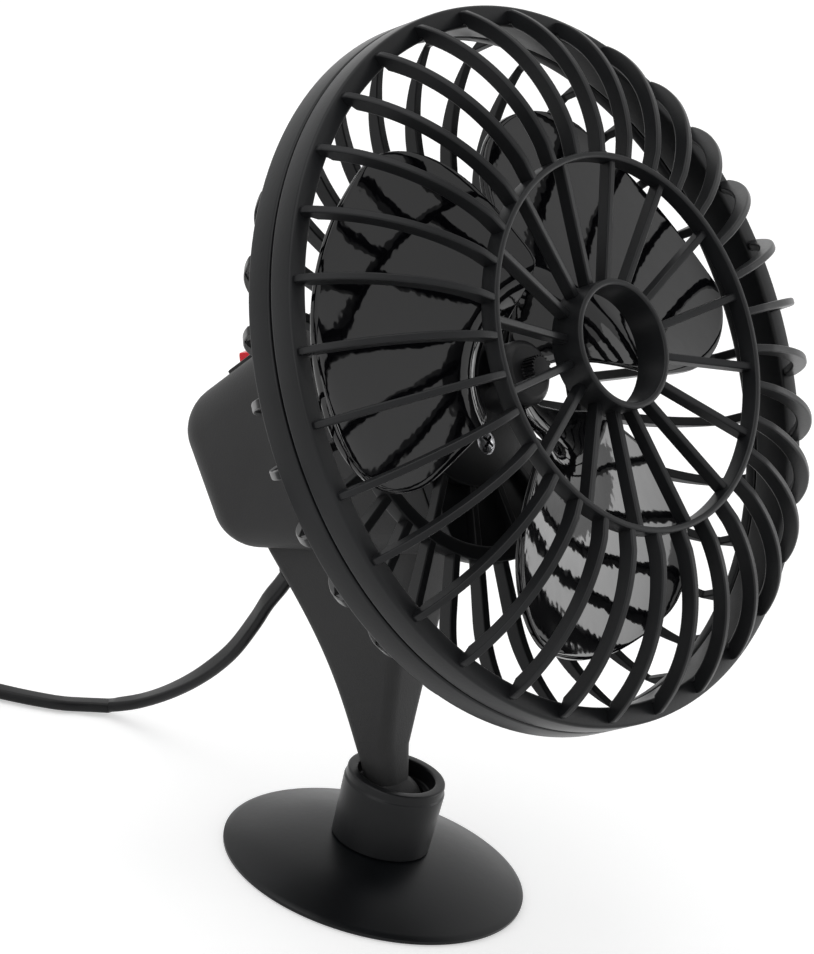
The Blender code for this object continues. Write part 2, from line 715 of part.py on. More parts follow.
def front_rib_outline():
    """A front rib from its foot in the rim over the crown to the mid ring, in (radius, height)."""
    foot_bottom = FRONT_RIM_DEPTH - SINK
    foot_inner = GUARD_RADIUS - RIM_WIDTH
    ring_middle = MID_RING_RADIUS - MID_RING_WALL / 2
    crown_inner = FRONT_CROWN_HEIGHT - RIB_DEPTH
    outer = crown_arc(GUARD_RADIUS, FRONT_RIM_DEPTH, FRONT_CROWN_RADIUS, FRONT_CROWN_HEIGHT, 6)
    inner = crown_arc(foot_inner, FRONT_RIM_DEPTH, FRONT_CROWN_RADIUS, crown_inner, 5)
    outer[0] = (GUARD_RADIUS - SINK, FRONT_RIM_DEPTH + SINK)
    inner[0] = (foot_inner + SINK, FRONT_RIM_DEPTH + SINK)
    outline = [(foot_inner + SINK, foot_bottom), (GUARD_RADIUS - RIM_CHAMFER - SINK, foot_bottom)]
    outline += outer
    outline += [(ring_middle, MID_RING_FRONT - CHAMFER / 2), (ring_middle, crown_inner - CHAMFER / 2)]
    outline += inner[::-1]
    return outline


def front_guard(parent):
    """Domed grille: 32 curved ribs up to a mid ring, then 16 spokes down to an open hub tube."""
    ledge = GUARD_RADIUS - RIM_WIDTH
    rim = [
        (ledge, -SPIGOT_DEPTH),
        (ledge + SPIGOT_WIDTH, -SPIGOT_DEPTH),
        (ledge + SPIGOT_WIDTH, 0),
        (GUARD_RADIUS, 0),
        (GUARD_RADIUS, FRONT_RIM_DEPTH - RIM_CHAMFER),
        (GUARD_RADIUS - RIM_CHAMFER, FRONT_RIM_DEPTH),
        (ledge, FRONT_RIM_DEPTH),
    ]
    body = turned(rim, FINE)
    for radius, wall, front, depth, steps in (
        (MID_RING_RADIUS, MID_RING_WALL, MID_RING_FRONT, MID_RING_DEPTH, FINE),
        (HUB_TUBE_RADIUS, HUB_TUBE_WALL, HUB_TUBE_FRONT, HUB_TUBE_DEPTH, ROUND),
    ):
        tube = [
            (radius - wall, front - depth),
            (radius, front - depth),
            (radius, front),
            (radius - wall, front),
        ]
        turned(tube, steps, bm=body)
    guard = piece("front_guard", body, "guard_black", parent)

    ribs = bmesh.new()
    outline = front_rib_outline()
    for i in range(RIB_COUNT):
        fin(ribs, outline, RIB_THICKNESS, 2 * pi * (i + 1 / 2) / RIB_COUNT)
    outer = MID_RING_RADIUS - MID_RING_WALL / 2
    inner = HUB_TUBE_RADIUS - HUB_TUBE_WALL / 2
    spoke = [
        (inner, SPOKE_INNER_FRONT - SPOKE_DEPTH),
        (outer, SPOKE_OUTER_FRONT - SPOKE_DEPTH + CHAMFER / 2),
        (outer, SPOKE_OUTER_FRONT),
        (inner, SPOKE_INNER_FRONT),
    ]
    for i in range(SPOKE_COUNT):
        fin(ribs, spoke, SPOKE_THICKNESS, 2 * pi * i / SPOKE_COUNT)
    combine(guard, "UNION", "front_ribs_tool", ribs)


def guard_screws(parent):
    """Two pan-head screws that hold the plate to the housing's bosses."""
    seat = PLATE_FRONT - COUNTERBORE_DEPTH + GAP
    profile = [
        (0, seat - SCREW_LENGTH),
        (SCREW_SHANK_RADIUS, seat - SCREW_LENGTH + SCREW_SHANK_RADIUS),
        (SCREW_SHANK_RADIUS, seat),
        (SCREW_HEAD_RADIUS, seat),
        (SCREW_HEAD_RADIUS, seat + SCREW_HEAD_HEIGHT / 2),
        (SCREW_HEAD_RADIUS - CHAMFER, seat + SCREW_HEAD_HEIGHT),
        (0, seat + SCREW_HEAD_HEIGHT),
    ]
    for name, side in (("plate_screw_upper", 1), ("plate_screw_lower", -1)):
        bm = turned(profile, COARSE, closed=False)
        piece(name, bm, "steel", parent, (0, side * SCREW_OFFSET, 0))


def blade_point(radius, chord_share):
    """A point on the middle surface of the first blade."""
    out_share = (radius - BLADE_FULL_RADIUS) / (BLADE_TIP_RADIUS - BLADE_FULL_RADIUS)
    out_share = max(out_share, 0)
    corner_share = max((out_share - 1 + BLADE_CORNER_SHARE) / BLADE_CORNER_SHARE, 0)
    bite = 1 - sqrt(max(1 - corner_share**2, 0))
    lead = BLADE_LEAD + BLADE_SWEEP * out_share + BLADE_LEAD_CORNER * bite
    trail = BLADE_TRAIL - BLADE_TAPER * out_share - BLADE_TRAIL_CORNER * bite
    root_share = (radius - BLADE_ROOT_RADIUS) / (BLADE_FULL_RADIUS - BLADE_ROOT_RADIUS)
    root_share = min(root_share, 1)
    blend = root_share * root_share * (3 - 2 * root_share)
    lead = BLADE_ROOT_LEAD + (lead - BLADE_ROOT_LEAD) * blend
    trail = BLADE_ROOT_TRAIL + (trail - BLADE_ROOT_TRAIL) * blend
    turn = lead + (trail - lead) * chord_share
    wide = BLADE_RISE_PER_RADIAN * radians(turn) - BLADE_DROOP_SHARE * (radius - BLADE_MIDDLE_RADIUS)
    tight = BLADE_ROOT_RISE_PER_RADIAN * radians(turn - (BLADE_ROOT_LEAD + BLADE_ROOT_TRAIL) / 2)
    hub_middle = (HUB_BACK + HUB_FRONT) / 2
    height = hub_middle + tight + (BLADE_MIDDLE_HEIGHT + wide - hub_middle - tight) * blend
    angle = radians(BLADE_START + turn)
    return Vector((radius * sin(angle), radius * cos(angle), height))


def blade_mesh(bm, angle):
    """One twisted blade with round tip corners, turned to its place on the hub."""
    turn = Matrix.Rotation(-angle, 4, "Z")
    lift = Vector((0, 0, BLADE_THICKNESS / 2))
    grids = []
    for side in (1, -1):
        grid = []
        for i in range(BLADE_SPANS + 1):
            share = sin(pi / 2 * i / BLADE_SPANS) ** (4 / 5)
            radius = BLADE_ROOT_RADIUS + (BLADE_TIP_RADIUS - BLADE_ROOT_RADIUS) * share
            row = [blade_point(radius, j / BLADE_CHORDS) + lift * side for j in range(BLADE_CHORDS + 1)]
            grid.append([bm.verts.new(turn @ point) for point in row])
        grids.append(grid)
    front, back = grids
    for grid in grids:
        for i in range(BLADE_SPANS):
            for j in range(BLADE_CHORDS):
                bm.faces.new((grid[i][j], grid[i + 1][j], grid[i + 1][j + 1], grid[i][j + 1]))
    walk = [(i, 0) for i in range(BLADE_SPANS)]
    walk += [(BLADE_SPANS, j) for j in range(BLADE_CHORDS)]
    walk += [(i, BLADE_CHORDS) for i in range(BLADE_SPANS, 0, -1)]
    walk += [(0, j) for j in range(BLADE_CHORDS, 0, -1)]
    for (i, j), (k, m) in zip(walk, walk[1:] + walk[:1]):
        bm.faces.new((front[i][j], front[k][m], back[k][m], back[i][j]))


def propeller(parent):
    """Three twisted blades on a stepped hub with a small nose, bored for the shaft."""
    bore = SHAFT_RADIUS + GAP
    hub = [
        (bore, HUB_BACK),
        (HUB_RADIUS, HUB_BACK),
        (HUB_RADIUS, HUB_FRONT - 2 * CHAMFER),
        (HUB_RADIUS - 2 * CHAMFER, HUB_FRONT),
        (NOSE_RADIUS, HUB_FRONT),
        (NOSE_RADIUS, NOSE_FRONT),
        (bore, NOSE_FRONT),
    ]
    body = piece("fan_blade", turned(hub, ROUND), "blade_black", parent)
    blades = bmesh.new()
    for i in range(BLADE_COUNT):
        blade_mesh(blades, 2 * pi * i / BLADE_COUNT)
    combine(body, "UNION", "blades_tool", blades)


def can_outline(radius, flat, count):
    """A circle with its top and bottom cut flat."""
    cut_turn = asin(flat / radius)
    turns = [-cut_turn + 2 * cut_turn * i / count for i in range(count + 1)]
    turns += [turn + pi for turn in turns]
    return [(radius * cos(t), radius * sin(t)) for t in turns]


def motor_can(parent):
    """Steel cup with two flats, a front wall and a boss for the front bush."""
    boss_front = CAN_FRONT + CAN_BOSS_HEIGHT
    outside = can_outline(CAN_RADIUS, CAN_FLAT, 12)
    body = piece("motor_can", extruded(outside, CAN_BACK, CAN_FRONT), "steel", parent)
    boss = extruded(circle(CAN_BOSS_RADIUS, COARSE), CAN_FRONT - SINK, boss_front)
    combine(body, "UNION", "can_boss_tool", boss)
    inside = can_outline(CAN_RADIUS - CAN_WALL, CAN_FLAT - CAN_WALL, 12)
    hollow = extruded(inside, CAN_BACK - OVERRUN, CAN_FRONT - CAN_WALL)
    combine(body, "DIFFERENCE", "can_hollow_tool", hollow)
    bore = circle(BUSH_RADIUS + GAP, COARSE)
    bore = extruded(bore, CAN_FRONT - CAN_WALL - OVERRUN, boss_front + OVERRUN)
    combine(body, "DIFFERENCE", "can_bore_tool", bore)


def motor_fittings(parent):
    """End cap, bushes, magnets, brushes and terminals of the motor."""
    cap = extruded(can_outline(CAN_RADIUS, CAN_FLAT, 12), CAP_BACK, CAN_BACK - GAP)
    cap = piece("motor_end_cap", cap, "nylon_white", parent)
    spigot = can_outline(CAN_RADIUS - CAN_WALL - GAP, CAN_FLAT - CAN_WALL - GAP, 12)
    spigot = extruded(spigot, CAN_BACK - GAP - SINK, CAN_BACK + SINK)
    combine(cap, "UNION", "cap_spigot_tool", spigot)
    bore = circle(BUSH_RADIUS + GAP, COARSE)
    combine(cap, "DIFFERENCE", "cap_bore_tool", extruded(bore, CAP_BACK + CAN_WALL, CAN_BACK + OVERRUN))

    inner = SHAFT_RADIUS + GAP
    for name, back, front in (
        ("motor_bush_front", CAN_FRONT - CAN_WALL, CAN_FRONT + CAN_BOSS_HEIGHT),
        ("motor_bush_rear", CAP_BACK + CAN_WALL + GAP, CAN_BACK),
    ):
        profile = [(inner, back), (BUSH_RADIUS, back), (BUSH_RADIUS, front), (inner, front)]
        piece(name, turned(profile, COARSE), "brass", parent)

    outer = CAN_RADIUS - CAN_WALL - GAP
    inner = outer - MAGNET_THICKNESS
    span = radians(MAGNET_SPAN)
    turns = [span * (i / 8 - 1 / 2) for i in range(9)]
    outline = [(outer * cos(t), outer * sin(t)) for t in turns]
    outline += [(inner * cos(t), inner * sin(t)) for t in turns[::-1]]
    back = ROTOR_MIDDLE - MAGNET_LENGTH / 2
    for name, turn in (("motor_magnet_right", 0), ("motor_magnet_left", pi)):
        bm = extruded(outline, back, back + MAGNET_LENGTH)
        piece(name, bm, "magnet_grey", parent, rotation=(0, 0, turn))

    tab = TERMINAL_THICKNESS / 2
    arm_in = COMMUTATOR_RADIUS + GAP
    arm_out = CAN_FLAT - CAN_WALL - 2 * GAP
    front = CAN_BACK + SINK + GAP + COMMUTATOR_LENGTH
    for side, word in ((1, "upper"), (-1, "lower")):
        low, high = sorted((side * arm_in, side * arm_out))
        brush = block((-BRUSH_WIDTH / 2, low, front - BRUSH_THICKNESS), (BRUSH_WIDTH / 2, high, front))
        piece("motor_brush_" + word, brush, "copper", parent)
        x = side * (CAN_RADIUS - CAN_WALL) / 2
        low = (x - TERMINAL_WIDTH / 2, -tab, CAP_BACK - GAP - TERMINAL_LENGTH)
        terminal = block(low, (x + TERMINAL_WIDTH / 2, tab, CAP_BACK - GAP))
        piece("motor_terminal_" + word, terminal, "brass", parent)


def rotor(parent):
    """Shaft, three-pole core, windings and commutator, which turn with the propeller."""
    shaft_back = CAP_BACK + CAN_WALL + GAP
    chamfer = SHAFT_RADIUS / 4
    shaft = [
        (0, shaft_back),
        (SHAFT_RADIUS - chamfer, shaft_back),
        (SHAFT_RADIUS, shaft_back + chamfer),
        (SHAFT_RADIUS, NOSE_FRONT - chamfer),
        (SHAFT_RADIUS - chamfer, NOSE_FRONT),
        (0, NOSE_FRONT),
    ]
    piece("motor_shaft", turned(shaft, COARSE, closed=False), "steel", parent)

    bore = SHAFT_RADIUS + GAP
    yoke = bore + CORE_SHOE_THICKNESS
    back = ROTOR_MIDDLE - CORE_LENGTH / 2
    front = ROTOR_MIDDLE + CORE_LENGTH / 2
    ring = [(bore, back), (yoke, back), (yoke, front), (bore, front)]
    core = piece("armature_core", turned(ring, COARSE), "steel", parent)
    poles = bmesh.new()
    shoe_inner = CORE_RADIUS - CORE_SHOE_THICKNESS
    span = radians(CORE_SHOE_SPAN)
    turns = [span * (i / 6 - 1 / 2) for i in range(7)]
    foot_turn = asin(CORE_ARM_WIDTH / 2 / shoe_inner)
    outline = [(CORE_RADIUS * cos(t), CORE_RADIUS * sin(t)) for t in turns]
    under = [t for t in turns[::-1] if t > foot_turn] + [foot_turn]
    outline += [(shoe_inner * cos(t), shoe_inner * sin(t)) for t in under]
    outline += [(yoke - SINK, CORE_ARM_WIDTH / 2), (yoke - SINK, -CORE_ARM_WIDTH / 2)]
    outline += [(shoe_inner * cos(t), -shoe_inner * sin(t)) for t in under[::-1]]
    for i in range(3):
        extruded(outline, back, front, poles, Matrix.Rotation(2 * pi * i / 3, 4, "Z"))
    combine(core, "UNION", "poles_tool", poles)

    low = CORE_ARM_WIDTH / 2 + GAP
    high = low + WINDING_THICKNESS
    near = yoke + 2 * GAP
    far = shoe_inner * cos(asin(high / shoe_inner)) - GAP
    wire = WINDING_THICKNESS
    around = [
        rounded_box(low, back - GAP, front + GAP, GAP, 2),
        rounded_box(high, back - GAP - wire, front + GAP + wire, wire, 2),
    ]
    start = near + (high - low) * sqrt(3) / 2
    rings = []
    for outline, x in ((around[0], start), (around[1], start), (around[1], far), (around[0], far)):
        rings.append([(x, y, z) for y, z in outline])
    for i in range(3):
        bm = ring_loft(rings)
        name = "armature_winding_" + str(i + 1)
        piece(name, bm, "copper", parent, rotation=(0, 0, 2 * pi * i / 3))

    back = CAN_BACK + SINK + GAP
    front = back + COMMUTATOR_LENGTH
    commutator = [(bore, back), (COMMUTATOR_RADIUS, back), (COMMUTATOR_RADIUS, front), (bore, front)]
    piece("commutator", turned(commutator, COARSE), "copper", parent)


def ring_loft(rings):
    """Skin rings of equal count into a closed tube wall, the last ring back to the first."""
    bm = bmesh.new()
    rows = [[bm.verts.new(point) for point in ring] for ring in rings]
    count = len(rows[0])
    for low, high in zip(rows, rows[1:] + rows[:1]):
        for i in range(count):
            after = (i + 1) % count
            bm.faces.new((low[i], low[after], high[after], high[i]))
    return bm


def switch_seat():
    """Where the middle of the switch stands on the housing's sloping top, and its turn about X."""
    slope = atan2(HOUSING_TOP_DRAFT, HOUSING_FRONT - HOUSING_BACK)
    return Vector((0, housing_edge(SWITCH_MIDDLE, 1) + GAP, SWITCH_MIDDLE)), -pi / 2 - slope


def rocker_switch(parent):
    """Bezel and box in the housing's window, with a rocker on a pin and two tabs below.

    The switch is drawn upright, X along the fan's side and Z out of the housing, on its own frame.
    """
    stands_at, tilt = switch_seat()
    seat = empty("switch_seat", parent, stands_at, (tilt, 0, 0))
    half_length, half_width = SWITCH_LENGTH / 2, SWITCH_WIDTH / 2
    bezel = rounded_box(half_width, -half_length, half_length, CHAMFER, 3)
    body = piece("switch_body", extruded(bezel, 0, BEZEL_HEIGHT), "guard_black", seat)
    box_half_width = half_width - SWITCH_BOX_BORDER
    box_half_length = half_length - SWITCH_BOX_BORDER
    low = (-box_half_width, -box_half_length, -SWITCH_BOX_DEPTH)
    combine(body, "UNION", "switch_box_tool", block(low, (box_half_width, box_half_length, SINK)))
    well_half_width = half_width - BEZEL_BORDER
    well_half_length = half_length - BEZEL_BORDER
    low = (-well_half_width, -well_half_length, -SWITCH_WELL_DEPTH)
    well = block(low, (well_half_width, well_half_length, BEZEL_HEIGHT + OVERRUN))
    combine(body, "DIFFERENCE", "switch_well_tool", well)
    lay_across = Matrix.Rotation(pi / 2, 4, "Y")
    hole_reach = box_half_width - SINK
    sunk_across = Matrix.Translation((0, 0, -ROCKER_PIN_DROP)) @ lay_across
    pin_hole = extruded(circle(ROCKER_PIN_RADIUS + GAP, TINY), -hole_reach, hole_reach, pose=sunk_across)
    combine(body, "DIFFERENCE", "pin_hole_tool", pin_hole)

    rocker_seat = empty("rocker_seat", seat, (0, 0, -ROCKER_PIN_DROP), (radians(ROCKER_ANGLE), 0, 0))
    reach = well_half_length - GAP
    half_width = well_half_width - GAP
    end_turns = [asin(ROCKER_RISE / reach) * i / 3 for i in range(4)]
    ends = [(reach * cos(t), reach * sin(t)) for t in end_turns]
    bottom = [(reach - CHAMFER, -ROCKER_DEPTH / 2), (reach / 2, -ROCKER_DEPTH)]
    profile = bottom[::-1] + ends + [(0, ROCKER_RISE - ROCKER_DIP)]
    profile += [(-y, z) for y, z in ends[::-1] + bottom]
    stand = Matrix(((0, 0, 1, 0), (1, 0, 0, 0), (0, 1, 0, 0), (0, 0, 0, 1)))
    rocker = extruded(profile, -half_width, half_width, pose=stand)
    rocker = piece("rocker", rocker, "rocker_red", rocker_seat)
    pin_reach = hole_reach - GAP
    pin = extruded(circle(ROCKER_PIN_RADIUS, TINY), -pin_reach, pin_reach, pose=lay_across)
    combine(rocker, "UNION", "rocker_pin_tool", pin)

    tab = TERMINAL_THICKNESS / 2
    tab_top = -SWITCH_BOX_DEPTH - GAP
    for word, y in (("front", -box_half_length / 2), ("rear", box_half_length / 2)):
        low = (-TERMINAL_WIDTH / 2, y - tab, tab_top - SWITCH_TAB_LENGTH)
        piece("switch_terminal_" + word, block(low, (TERMINAL_WIDTH / 2, y + tab, tab_top)), "brass", seat)


def relief_step(share):
    """How far out and down the middle of the strain relief is, and its dip in radians, at a share."""
    dip = radians(RELIEF_DIP)
    bend = RELIEF_LENGTH / dip
    return bend * sin(dip * share), bend * (1 - cos(dip * share)), dip * share


def strain_relief(fan):
    """Short curved grommet on the stalk's back face. Returns the frame of the cord's exit."""
    depths = [stalk_edge(share, -1) for share in (RELIEF_HIGH_SHARE, RELIEF_LOW_SHARE)]
    high = Vector((0, stalk_level(depths[0], RELIEF_HIGH_SHARE), depths[0]))
    low = Vector((0, stalk_level(depths[1], RELIEF_LOW_SHARE), depths[1]))
    lean = atan2(low.z - high.z, high.y - low.y)
    off_face = Vector((0, -sin(lean), -cos(lean))) * GAP
    seat = empty("relief_seat", fan, (high + low) / 2 + off_face, (pi - lean, 0, 0))
    rings = []
    for i in range(5):
        share = i / 4
        out, down, dip = relief_step(share)
        radius = RELIEF_RADIUS + (RELIEF_TIP_RADIUS - RELIEF_RADIUS) * share
        ring = []
        for x, y in circle(radius, COARSE):
            ring.append((x, down + y * cos(dip), out - y * sin(dip)))
        rings.append(ring)
    piece("strain_relief", lofted(rings), "cord_black", seat)
    out, down, dip = relief_step(1)
    return empty("cord_exit", seat, (0, down, out), (-dip, 0, 0))


def smooth_path(points, step):
    """Points about one step apart on a smooth curve through the route's points."""
    points = [Vector(p) for p in points]
    padded = [2 * points[0] - points[1], *points, 2 * points[-1] - points[-2]]
    made = []
    for before, start, end, after in zip(padded, padded[1:], padded[2:], padded[3:]):
        count = max(round((end - start).length / step), 1)
        for i in range(count):
            t = i / count
            bend = (2 * before - 5 * start + 4 * end - after) * t**2
            twist = (3 * start - before - 3 * end + after) * t**3
            made.append((2 * start + (end - before) * t + bend + twist) / 2)
    return made + [points[-1]]


def trimmed(points, cut_start, cut_end):
    """Move the two end points in along the path."""
    first = points[0] + (points[1] - points[0]).normalized() * cut_start
    last = points[-1] + (points[-2] - points[-1]).normalized() * cut_end
    return [first, *points[1:-1], last]


def flex(name, points, parent, start_roll=0.0, end_roll=0.0, middle_roll=None):
    """Flat twin flex along a path. A roll of 0 stands it on edge, and of 90 lays it flat."""
    curve = bpy.data.curves.new(name, "CURVE")
    curve.dimensions = "3D"
    curve.twist_mode = "Z_UP"
    curve.bevel_depth = CORD_THICKNESS / 2
    curve.bevel_resolution = 1
    curve.extrude = (CORD_WIDTH - CORD_THICKNESS) / 2
    curve.use_fill_caps = True
    spline = curve.splines.new("POLY")
    spline.points.add(len(points) - 1)
    middle_roll = (start_roll + end_roll) / 2 if middle_roll is None else middle_roll
    for i, (target, point) in enumerate(zip(spline.points, points)):
        share = i / (len(points) - 1)
        if share < 1 / 2:
            roll = start_roll + (middle_roll - start_roll) * 2 * share
        else:
            roll = middle_roll + (end_roll - middle_roll) * (2 * share - 1)
        target.co = (*point, 1)
        target.tilt = radians(roll)
    curve.materials.append(finish(name, "cord_black"))
    return place(bpy.data.objects.new(name, curve), parent)


def coil_path():
    """The coil's line: in along the low layer, up a layer at the inner turn, out along the high one."""
    part_turn = COIL_LAST_PART_TURN / 360
    inner = COIL_MEAN_RADIUS - COIL_PITCH * (COIL_LOOPS_PER_LAYER - 1) / 2
    outer = inner + COIL_PITCH * (COIL_LOOPS_PER_LAYER - 1 / 2)
    turns_in = COIL_LOOPS_PER_LAYER - 1 / 4
    climb = 1 / 2
    turns_out = COIL_LOOPS_PER_LAYER - 1 / 4 + part_turn
    total = turns_in + climb + turns_out
    count = round(total * LOOP_POINTS)
    centre = Vector(COIL_CENTRE)
    made = []
    for i in range(count + 1):
        turn = total * i / count
        up_share = min(max((turn - turns_in) / climb, 0), 1)
        up_share = up_share * up_share * (3 - 2 * up_share)
        if turn < turns_in + climb / 2:
            radius = outer - COIL_PITCH * turn
        else:
            radius = outer - COIL_PITCH * (2 * turns_in + climb - turn)
        tuck_share = min(abs(turn - turns_in - climb / 2) / COIL_TUCK_TURN_SHARE, 1)
        radius -= COIL_TUCK * (1 - tuck_share**2) ** 2
        angle = radians(COIL_START_ANGLE) + 2 * pi * turn
        height = COIL_LOW + COIL_LAYER_RISE * up_share
        made.append(centre + Vector((radius * cos(angle), radius * sin(angle), height)))
    return made


def straight_end(points, length):
    """Run the path straight past both of its ends."""
    first = points[0] + (points[0] - points[1]).normalized() * length
    last = points[-1] + (points[-1] - points[-2]).normalized() * length
    return [first, *points, last]


def least_gap(points):
    """The coil's least clearance to itself, between sections that are not next to each other."""
    half_turn = LOOP_POINTS // 2
    least = COIL_MEAN_RADIUS
    for i, a in enumerate(points):
        for b in points[i + half_turn :]:
            across = Vector((a.x - b.x, a.y - b.y)).length - CORD_THICKNESS
            up = abs(a.z - b.z) - CORD_WIDTH
            if across > 0 and up > 0:
                gap = sqrt(across**2 + up**2)
            else:
                gap = max(across, up)
            least = min(least, gap)
    return least


def cord_tie(parent, points):
    """Flat band round all the turns at one place of the coil."""
    centre = Vector(COIL_CENTRE)
    reach = [(point - centre).xy.length for point in points]
    half = CORD_THICKNESS / 2 + GAP
    near, far = min(reach) - half, max(reach) + half
    low = COIL_LIFT - GAP
    high = COIL_LOW + COIL_LAYER_RISE + CORD_WIDTH / 2 + GAP
    middle = (near + far) / 2
    width = (far - near) / 2
    inside = rounded_box(width, low, high, CHAMFER, 3)
    band = TIE_THICKNESS
    outside = rounded_box(width + band, low - band, high + band, CHAMFER + band, 3)
    rings = []
    for outline, y in ((inside, 0), (outside, 0), (outside, 1), (inside, 1)):
        rings.append([(middle + x, (y - 1 / 2) * TIE_WIDTH, z) for x, z in outline])
    turn = radians(TIE_ANGLE)
    piece("cord_tie", ring_loft(rings), "cord_black", parent, COIL_CENTRE, (0, 0, turn))


def cord(parent, exit_frame):
    """The whole cord: down from the stalk, over the floor, the tied coil and the tail to the plug."""
    bpy.context.view_layer.update()
    to_parent = parent.matrix_world.inverted() @ exit_frame.matrix_world
    leave = to_parent @ Vector((0, 0, GAP))
    straight = to_parent @ Vector((0, 0, GAP + CORD_WIDTH))
    split = Vector(CORD_SPLIT)
    along = (Vector(CORD_ON_TABLE[0]) - Vector(CORD_FALL[-1])).normalized() * CORD_WIDTH
    fall = smooth_path([leave, straight, *CORD_FALL, split - along], CORD_STEP) + [split]
    flex("power_cord_fall", trimmed(fall, 0, GAP / 2), parent, 0, 90, 20)

    coil = straight_end(coil_path(), CORD_WIDTH)
    print("least gap in the coil, mm:", round(least_gap(coil) * 1000, 3))
    before_coil = coil[0] + (coil[0] - coil[1]).normalized() * CORD_STEP
    run = [split] + smooth_path([split + along, *CORD_ON_TABLE, before_coil, coil[0]], CORD_STEP)
    flex("power_cord_floor", trimmed(run, GAP / 2, GAP), parent, 90, 0, 80)
    flex("power_cord_coil", coil, parent)
    cord_tie(parent, coil_path())

    heading = (coil[-1] - coil[-2]).normalized()
    level = Vector((heading.x, heading.y, 0)).normalized()
    end = coil[-1] + level * TAIL_LENGTH
    end.z = PLUG_GRIP_RADIUS
    out = coil[-1] + level * CORD_STEP
    back = end - level * CORD_STEP
    tail = smooth_path([coil[-1], out, back, end], CORD_STEP)
    flex("power_cord_tail", trimmed(tail, GAP, GAP), parent)
    return end, level


def plug(parent, end, heading):
    """Lighter-socket plug on its side: relief, body, nut, spring tip, fuse and side contacts."""
    facing = heading.to_track_quat("Z", "Y").to_euler()
    axis = empty("plug_axis", parent, end, facing)
    relief = [
        (0, 0),
        (PLUG_RELIEF_TIP_RADIUS, 0),
        (PLUG_RELIEF_RADIUS, PLUG_RELIEF_LENGTH - GAP),
        (0, PLUG_RELIEF_LENGTH - GAP),
    ]
    piece("plug_strain_relief", turned(relief, COARSE, closed=False), "cord_black", axis)

    start = PLUG_RELIEF_LENGTH
    grip_end = start + PLUG_GRIP_LENGTH
    barrel = grip_end + PLUG_SHOULDER_LENGTH
    bore_bottom = PLUG_FRONT - PLUG_BORE_DEPTH
    body = [
        (0, start),
        (PLUG_RELIEF_RADIUS + CHAMFER, start),
        (PLUG_GRIP_RADIUS - 2 * CHAMFER, start + PLUG_SHOULDER_LENGTH),
        (PLUG_GRIP_RADIUS, start + 2 * PLUG_SHOULDER_LENGTH),
        (PLUG_GRIP_RADIUS, grip_end),
        (PLUG_BARREL_RADIUS, barrel),
        (PLUG_BARREL_RADIUS, PLUG_FRONT),
        (PLUG_BORE_RADIUS, PLUG_FRONT),
        (PLUG_BORE_RADIUS, bore_bottom),
        (0, bore_bottom),
    ]
    body = piece("plug_body", turned(body, ROUND, closed=False), "guard_black", axis)
    seats = bmesh.new()
    seat_floor = PLUG_BARREL_RADIUS - CONTACT_SEAT - GAP
    seat_front = PLUG_FRONT - CONTACT_SEAT
    seat_back = seat_front - CONTACT_LENGTH - 2 * GAP
    half = CONTACT_WIDTH / 2
    for side in (1, -1):
        low, high = sorted((side * seat_floor, side * (PLUG_GRIP_RADIUS + OVERRUN)))
        block((low, -half - GAP, seat_back), (high, half + GAP, seat_front), seats)
    combine(body, "DIFFERENCE", "contact_seat_tool", seats)
    profile = [
        (PLUG_BARREL_RADIUS - CONTACT_SEAT, seat_back + GAP),
        (PLUG_BARREL_RADIUS - GAP, seat_back + GAP),
        (PLUG_BARREL_RADIUS + CONTACT_RISE, seat_back + GAP + CONTACT_LENGTH / 2),
        (PLUG_BARREL_RADIUS - GAP, seat_front - GAP),
        (PLUG_BARREL_RADIUS - CONTACT_SEAT, seat_front - GAP),
    ]
    stand = Matrix(((1, 0, 0, 0), (0, 0, -1, 0), (0, 1, 0, 0), (0, 0, 0, 1)))
    for word, turn in (("left", 0), ("right", pi)):
        bm = extruded(profile, -half, half, pose=stand)
        piece("plug_contact_" + word, bm, "steel", axis, rotation=(0, 0, turn))

    nut_back = PLUG_FRONT + GAP
    nut_front = nut_back + PLUG_NUT_LENGTH
    flange_room = PLUG_TIP_RADIUS + PLUG_TIP_FLANGE / 2 + GAP
    nut_floor = nut_back + PLUG_NUT_LENGTH / 2
    nut = [
        (flange_room, nut_back),
        (PLUG_BARREL_RADIUS, nut_back),
        (PLUG_BARREL_RADIUS, nut_floor),
        (PLUG_NUT_TIP_RADIUS, nut_front),
        (PLUG_TIP_RADIUS + GAP, nut_front),
        (PLUG_TIP_RADIUS + GAP, nut_floor),
        (flange_room, nut_floor),
    ]
    piece("plug_nut", turned(nut, ROUND), "guard_black", axis)
    flange = flange_room - GAP
    tip_front = nut_front + PLUG_TIP_REACH
    tip_back = nut_floor - GAP - PLUG_TIP_FLANGE
    tip = [
        (0, tip_back),
        (flange, tip_back),
        (flange, nut_floor - GAP),
        (PLUG_TIP_RADIUS, nut_floor - GAP),
        (PLUG_TIP_RADIUS, tip_front - PLUG_TIP_RADIUS / 2),
        (PLUG_TIP_RADIUS / 2, tip_front),
        (0, tip_front),
    ]
    tip_axis = empty("plug_tip_axis", axis)
    piece("plug_tip", turned(tip, COARSE, closed=False), "steel", tip_axis)
    fuse_back = bore_bottom + GAP
    fuse = [
        (0, fuse_back),
        (FUSE_RADIUS, fuse_back),
        (FUSE_RADIUS, fuse_back + FUSE_LENGTH),
        (0, fuse_back + FUSE_LENGTH),
    ]
    piece("plug_fuse", turned(fuse, COARSE, closed=False), "steel", axis)
    low, high = fuse_back + FUSE_LENGTH + GAP, tip_back - GAP
    inner = SPRING_RADIUS - SPRING_WALL
    spring = [(inner, low), (SPRING_RADIUS, low), (SPRING_RADIUS, high), (inner, high)]
    piece("plug_spring", turned(spring, COARSE), "steel", axis)


